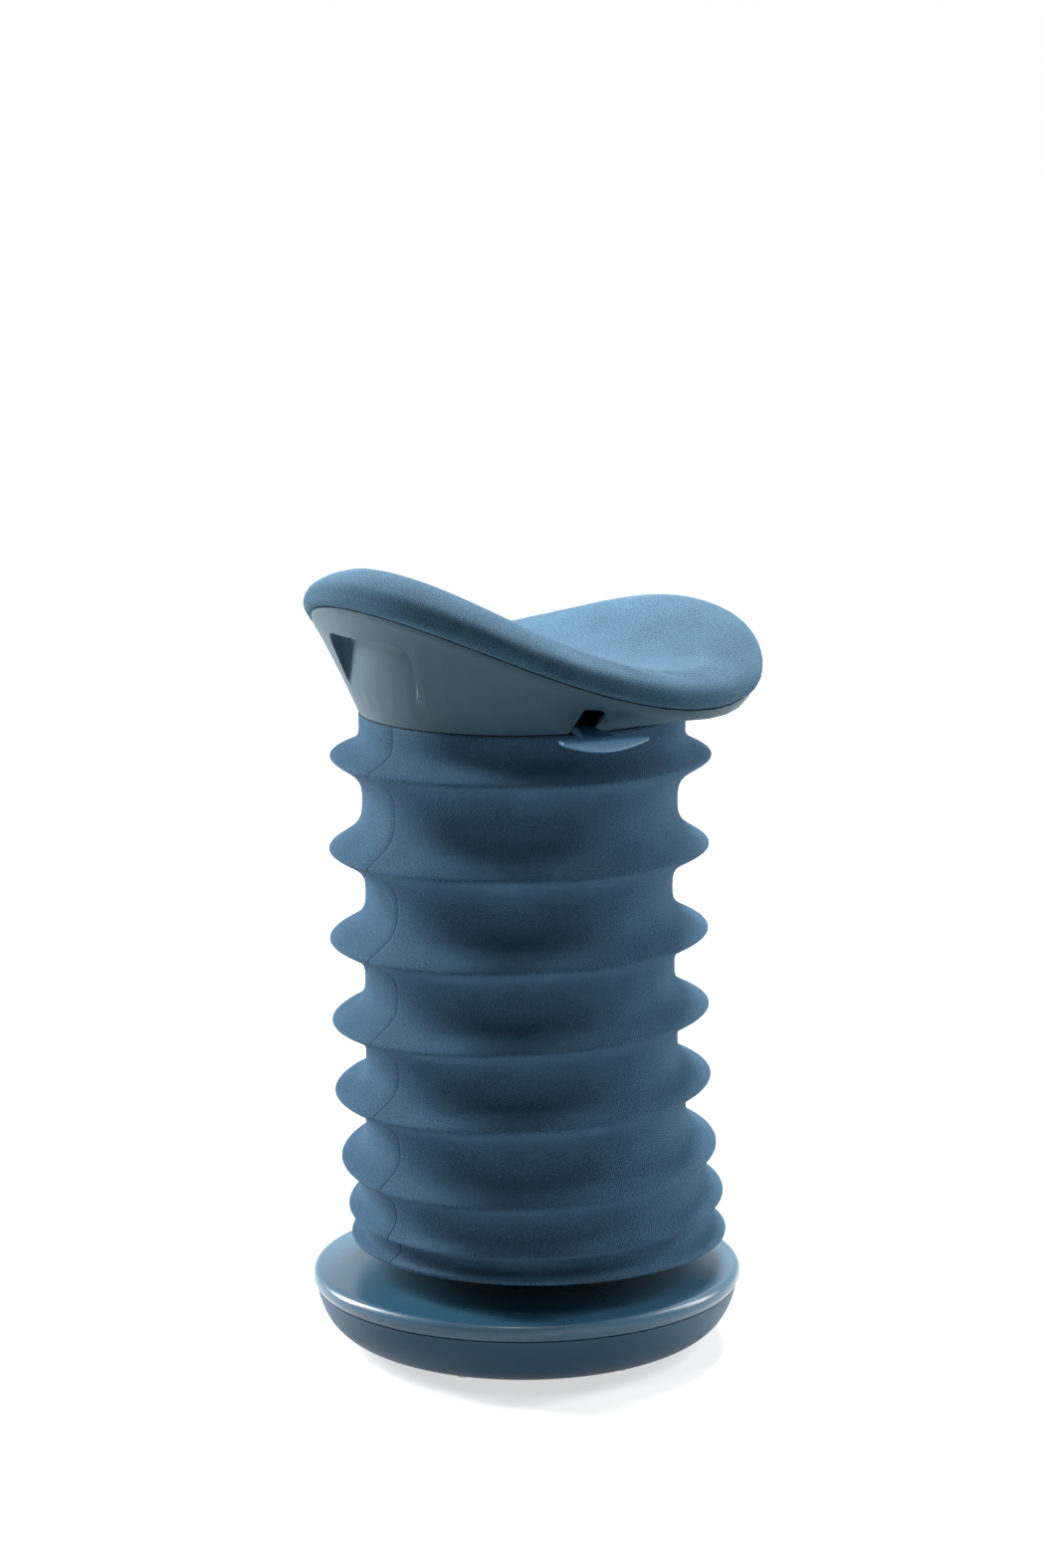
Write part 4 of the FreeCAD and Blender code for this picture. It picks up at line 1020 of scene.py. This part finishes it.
def disc_piece(name, rows, material, low_centre, high_centre):
    """Closed piece from rings of points: quads between them, and fans at the two middles."""
    columns = len(rows[0])
    points = [p for row in rows for p in row] + [low_centre, high_centre]
    low, high = len(points) - 2, len(points) - 1
    reach = [sum((p - q).length for p, q in zip(a, b)) / columns for a, b in zip(rows, rows[1:])]
    middle = sum((p - high_centre).length for p in rows[-1]) / columns
    arc = [middle + sum(reach[i:]) for i in range(len(rows))]

    def laid(row, column):
        turn = 2 * pi * column / columns
        return (arc[row] * cos(turn), arc[row] * sin(turn))
    faces, uv = [], []
    for r in range(len(rows) - 1):
        for c in range(columns):
            d = (c + 1) % columns
            faces.append((r * columns + c, r * columns + d,
                          (r + 1) * columns + d, (r + 1) * columns + c))
            uv += [laid(r, c), laid(r, c + 1), laid(r + 1, c + 1), laid(r + 1, c)]
    top = (len(rows) - 1) * columns
    for c in range(columns):
        d = (c + 1) % columns
        faces.append((d, c, low))
        uv += [laid(0, c + 1), laid(0, c), laid(0, c)]
        faces.append((top + c, top + d, high))
        uv += [laid(len(rows) - 1, c), laid(len(rows) - 1, c + 1), (0, 0)]
    return new_piece(name, points, faces, material, uv)


foam_tree = node_tree("seat_foam")


def under_ring(share):
    """Ring under the foam, measured from below."""
    def measure(turn):
        reach = (seam_at(turn)[0] - UNDER_INSET) * share
        way = Vector((cos(turn), sin(turn), 0))
        hit = foam_tree.ray_cast(way * reach + Vector((0, 0, FAR)), UP)[0]
        return reach, hit.z
    return smooth_ring(measure)


under_rows = [ring_at(under_ring(i / UNDER_RINGS)) for i in range(1, UNDER_RINGS + 1)]
low_middle = foam_tree.ray_cast(Vector((OFF_AXIS, 0, FAR)), UP)[0]
high_middle = cover_tree.ray_cast(Vector((OFF_AXIS, 0, HIGH)), -UP)[0]
cushion = disc_piece("cushion", under_rows + seat_rows, SEAT_CLOTH, low_middle, high_middle)
print("cushion", len(cushion.data.polygons), "faces")

# %% [markdown]
# A moulded pad still swells a little in its cover. The cover is simulated as cloth under
# pressure, held along its seam and below, and no point may move further than a small cap,
# so that the shape stays the measured one.


# %% Swell the cushion
PRESSURE = 4.0
LAST_FRAME = 20
MOST_SWELL = 0.0015
HELD_ROWS = len(under_rows) + len(TUCK)


def swell(thing, held_points):
    """Cloth under pressure, run, capped and written back to the mesh."""
    count = len(thing.data.vertices)
    rest = np.empty(count * 3)
    thing.data.vertices.foreach_get("co", rest)
    held = thing.vertex_groups.new(name="held")
    held.add(held_points, 1.0, "REPLACE")
    cloth = thing.modifiers.new("cloth", "CLOTH")
    cloth.settings.use_pressure = True
    cloth.settings.uniform_pressure_force = PRESSURE
    cloth.settings.effector_weights.gravity = 0
    cloth.settings.vertex_group_mass = "held"
    cloth.point_cache.frame_end = LAST_FRAME
    for frame_number in range(1, LAST_FRAME + 1):
        bpy.context.scene.frame_set(frame_number)
    swollen = thing.evaluated_get(bpy.context.evaluated_depsgraph_get()).to_mesh()
    moved = np.empty(count * 3)
    swollen.vertices.foreach_get("co", moved)
    thing.modifiers.remove(cloth)
    thing.vertex_groups.remove(held)
    bpy.context.scene.frame_set(1)
    step = (moved - rest).reshape(-1, 3)
    length = np.linalg.norm(step, axis=1, keepdims=True)
    step *= np.minimum(1, MOST_SWELL / np.maximum(length, 1e-9))
    thing.data.vertices.foreach_set("co", rest + step.ravel())
    print("swelled", round(float(length.max()), 4), "capped at", MOST_SWELL)


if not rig.quick():
    swell(cushion, list(range(HELD_ROWS * SEAT_COLUMNS)) + [len(cushion.data.vertices) - 2])
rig.replaces(cushion, "seat_cover", "seat_foam")
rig.slot(cushion, "seat_fabric")
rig.ride(cushion, "seat")
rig.padded(cushion, fill=0.9)

# %% [markdown]
# The bellows is a sheet, so its flat size is told too: round at its top hem, and along its
# folded profile. It is stretched over the hoops and held by the two rings.

# %% Flat size of the bellows
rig.sheet(bellows, flat=(round(girth, 3), round(bellows_length, 3)), held="stretched",
         rests_on=HOOP_NODES + ["bellows_top_ring", "bellows_bottom_ring"])
print("sheet", round(girth, 3), "x", round(bellows_length, 3))

# %% [markdown]
# Floor
#
# The product stands on pure white. A matt floor alone would grow grey with distance, so a glow
# is added for the rays that show it, little near the stool, where its shadow falls, and full
# further out. The floor lies a hair below the rubber pad, so that the two faces don't coincide.

# %% Floor
FLOOR_SIZE = 30.0
FLOOR_GAP = 0.0003
SHADOW_REACH = (0.2, 0.7)
GLOW_NEAR = 0.62


def shows_white(tree):
    """1 for camera, mirror and glass rays, 0 for the rest."""
    path = add(tree, "ShaderNodeLightPath")
    clear = math_node(tree, "MAXIMUM", path.outputs["Is Glossy Ray"],
                      path.outputs["Is Transmission Ray"])
    return math_node(tree, "MAXIMUM", path.outputs["Is Camera Ray"], clear)


floor_material = bpy.data.materials.new("floor_white")
floor_material.use_nodes = True
tree = floor_material.node_tree
tree.nodes.remove(tree.nodes["Principled BSDF"])
pale = add(tree, "ShaderNodeBsdfDiffuse", {"Color": (0.5, 0.5, 0.5, 1)})
place = add(tree, "ShaderNodeTexCoord").outputs["Object"]
from_axis = add(tree, "ShaderNodeVectorMath", {0: place}, operation="LENGTH").outputs["Value"]
far_glow = spread(tree, from_axis, SHADOW_REACH[0], SHADOW_REACH[1], GLOW_NEAR, 1.0)
glow = add(tree, "ShaderNodeEmission", {
    "Color": (1, 1, 1, 1), "Strength": math_node(tree, "MULTIPLY", far_glow, shows_white(tree))})
both = add(tree, "ShaderNodeAddShader", {0: pale.outputs[0], 1: glow.outputs[0]})
tree.links.new(both.outputs[0], tree.nodes["Material Output"].inputs["Surface"])
half = FLOOR_SIZE / 2
corners = [(x * half, y * half, -FLOOR_GAP) for x, y in ((-1, -1), (1, -1), (1, 1), (-1, 1))]
floor = new_piece("floor", corners, [(0, 1, 2, 3)], floor_material, smooth=False)
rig.stage(floor)
print("floor", FLOOR_SIZE, "m wide")

# %% [markdown]
# Light
#
# The surroundings are white where they are seen or mirrored, and dim as a light. The lamps are
# a soft panel above and behind, a small one high in front, a weak wide one low in front that
# lifts the shadows, and one at each side a little behind, which leaves the side towards the
# camera darker, as in the photo.

# %% World and lamps
world = bpy.data.worlds.new("studio")
bpy.context.scene.world = world
world.use_nodes = True
tree = world.node_tree
dim = add(tree, "ShaderNodeBackground", {"Color": (0.93, 0.96, 1.0, 1), "Strength": 0.06})
white = add(tree, "ShaderNodeBackground", {"Color": (1, 1, 1, 1), "Strength": 1.0})
both = add(tree, "ShaderNodeMixShader",
           {0: shows_white(tree), 1: dim.outputs[0], 2: white.outputs[0]})
tree.links.new(both.outputs[0], tree.nodes["World Output"].inputs["Surface"])


def panel(name, place, aim, size, power):
    """Soft square lamp at a place, turned to a point."""
    lamp = bpy.data.lights.new(name, "AREA")
    lamp.shape = "RECTANGLE"
    lamp.size, lamp.size_y = size
    lamp.energy = power
    thing = bpy.data.objects.new(name, lamp)
    bpy.context.scene.collection.objects.link(thing)
    thing.location = place
    thing.rotation_euler = (Vector(aim) - place).to_track_quat("-Z", "Y").to_euler()


MIDDLE = (0, 0, 0.4)
panel("top", around(1.4, CAMERA_WAY + 165, 2.3), (0, 0, 0.6), (1.1, 1.1), 138)
panel("front", around(0.95, CAMERA_WAY - 15, 2.7), MIDDLE, (0.5, 0.5), 9)
panel("fill", around(2.6, CAMERA_WAY + 25, 0.7), (0, 0, 0.2), (1.6, 1.0), 5)
panel("right", around(1.9, CAMERA_WAY + 106, 1.2), MIDDLE, (0.5, 1.4), 40)
panel("left", around(1.9, CAMERA_WAY - 114, 1.2), MIDDLE, (0.5, 1.4), 90)
bpy.context.scene.view_settings.view_transform = "Standard"
print("lamps", sorted(thing.name for thing in bpy.data.objects if thing.type == "LIGHT"))

# %% [markdown]
# Sizes
#
# The last cell writes the size of the frame and that of the dressed model to extents.json, and prints them.

# %% Sizes and finish
json.dump({"cad": [list(corner) for corner in CAD_BOX],
           "visual": [list(corner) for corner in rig.bounds()]}, open("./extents.json", "w"))
print(open("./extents.json").read())
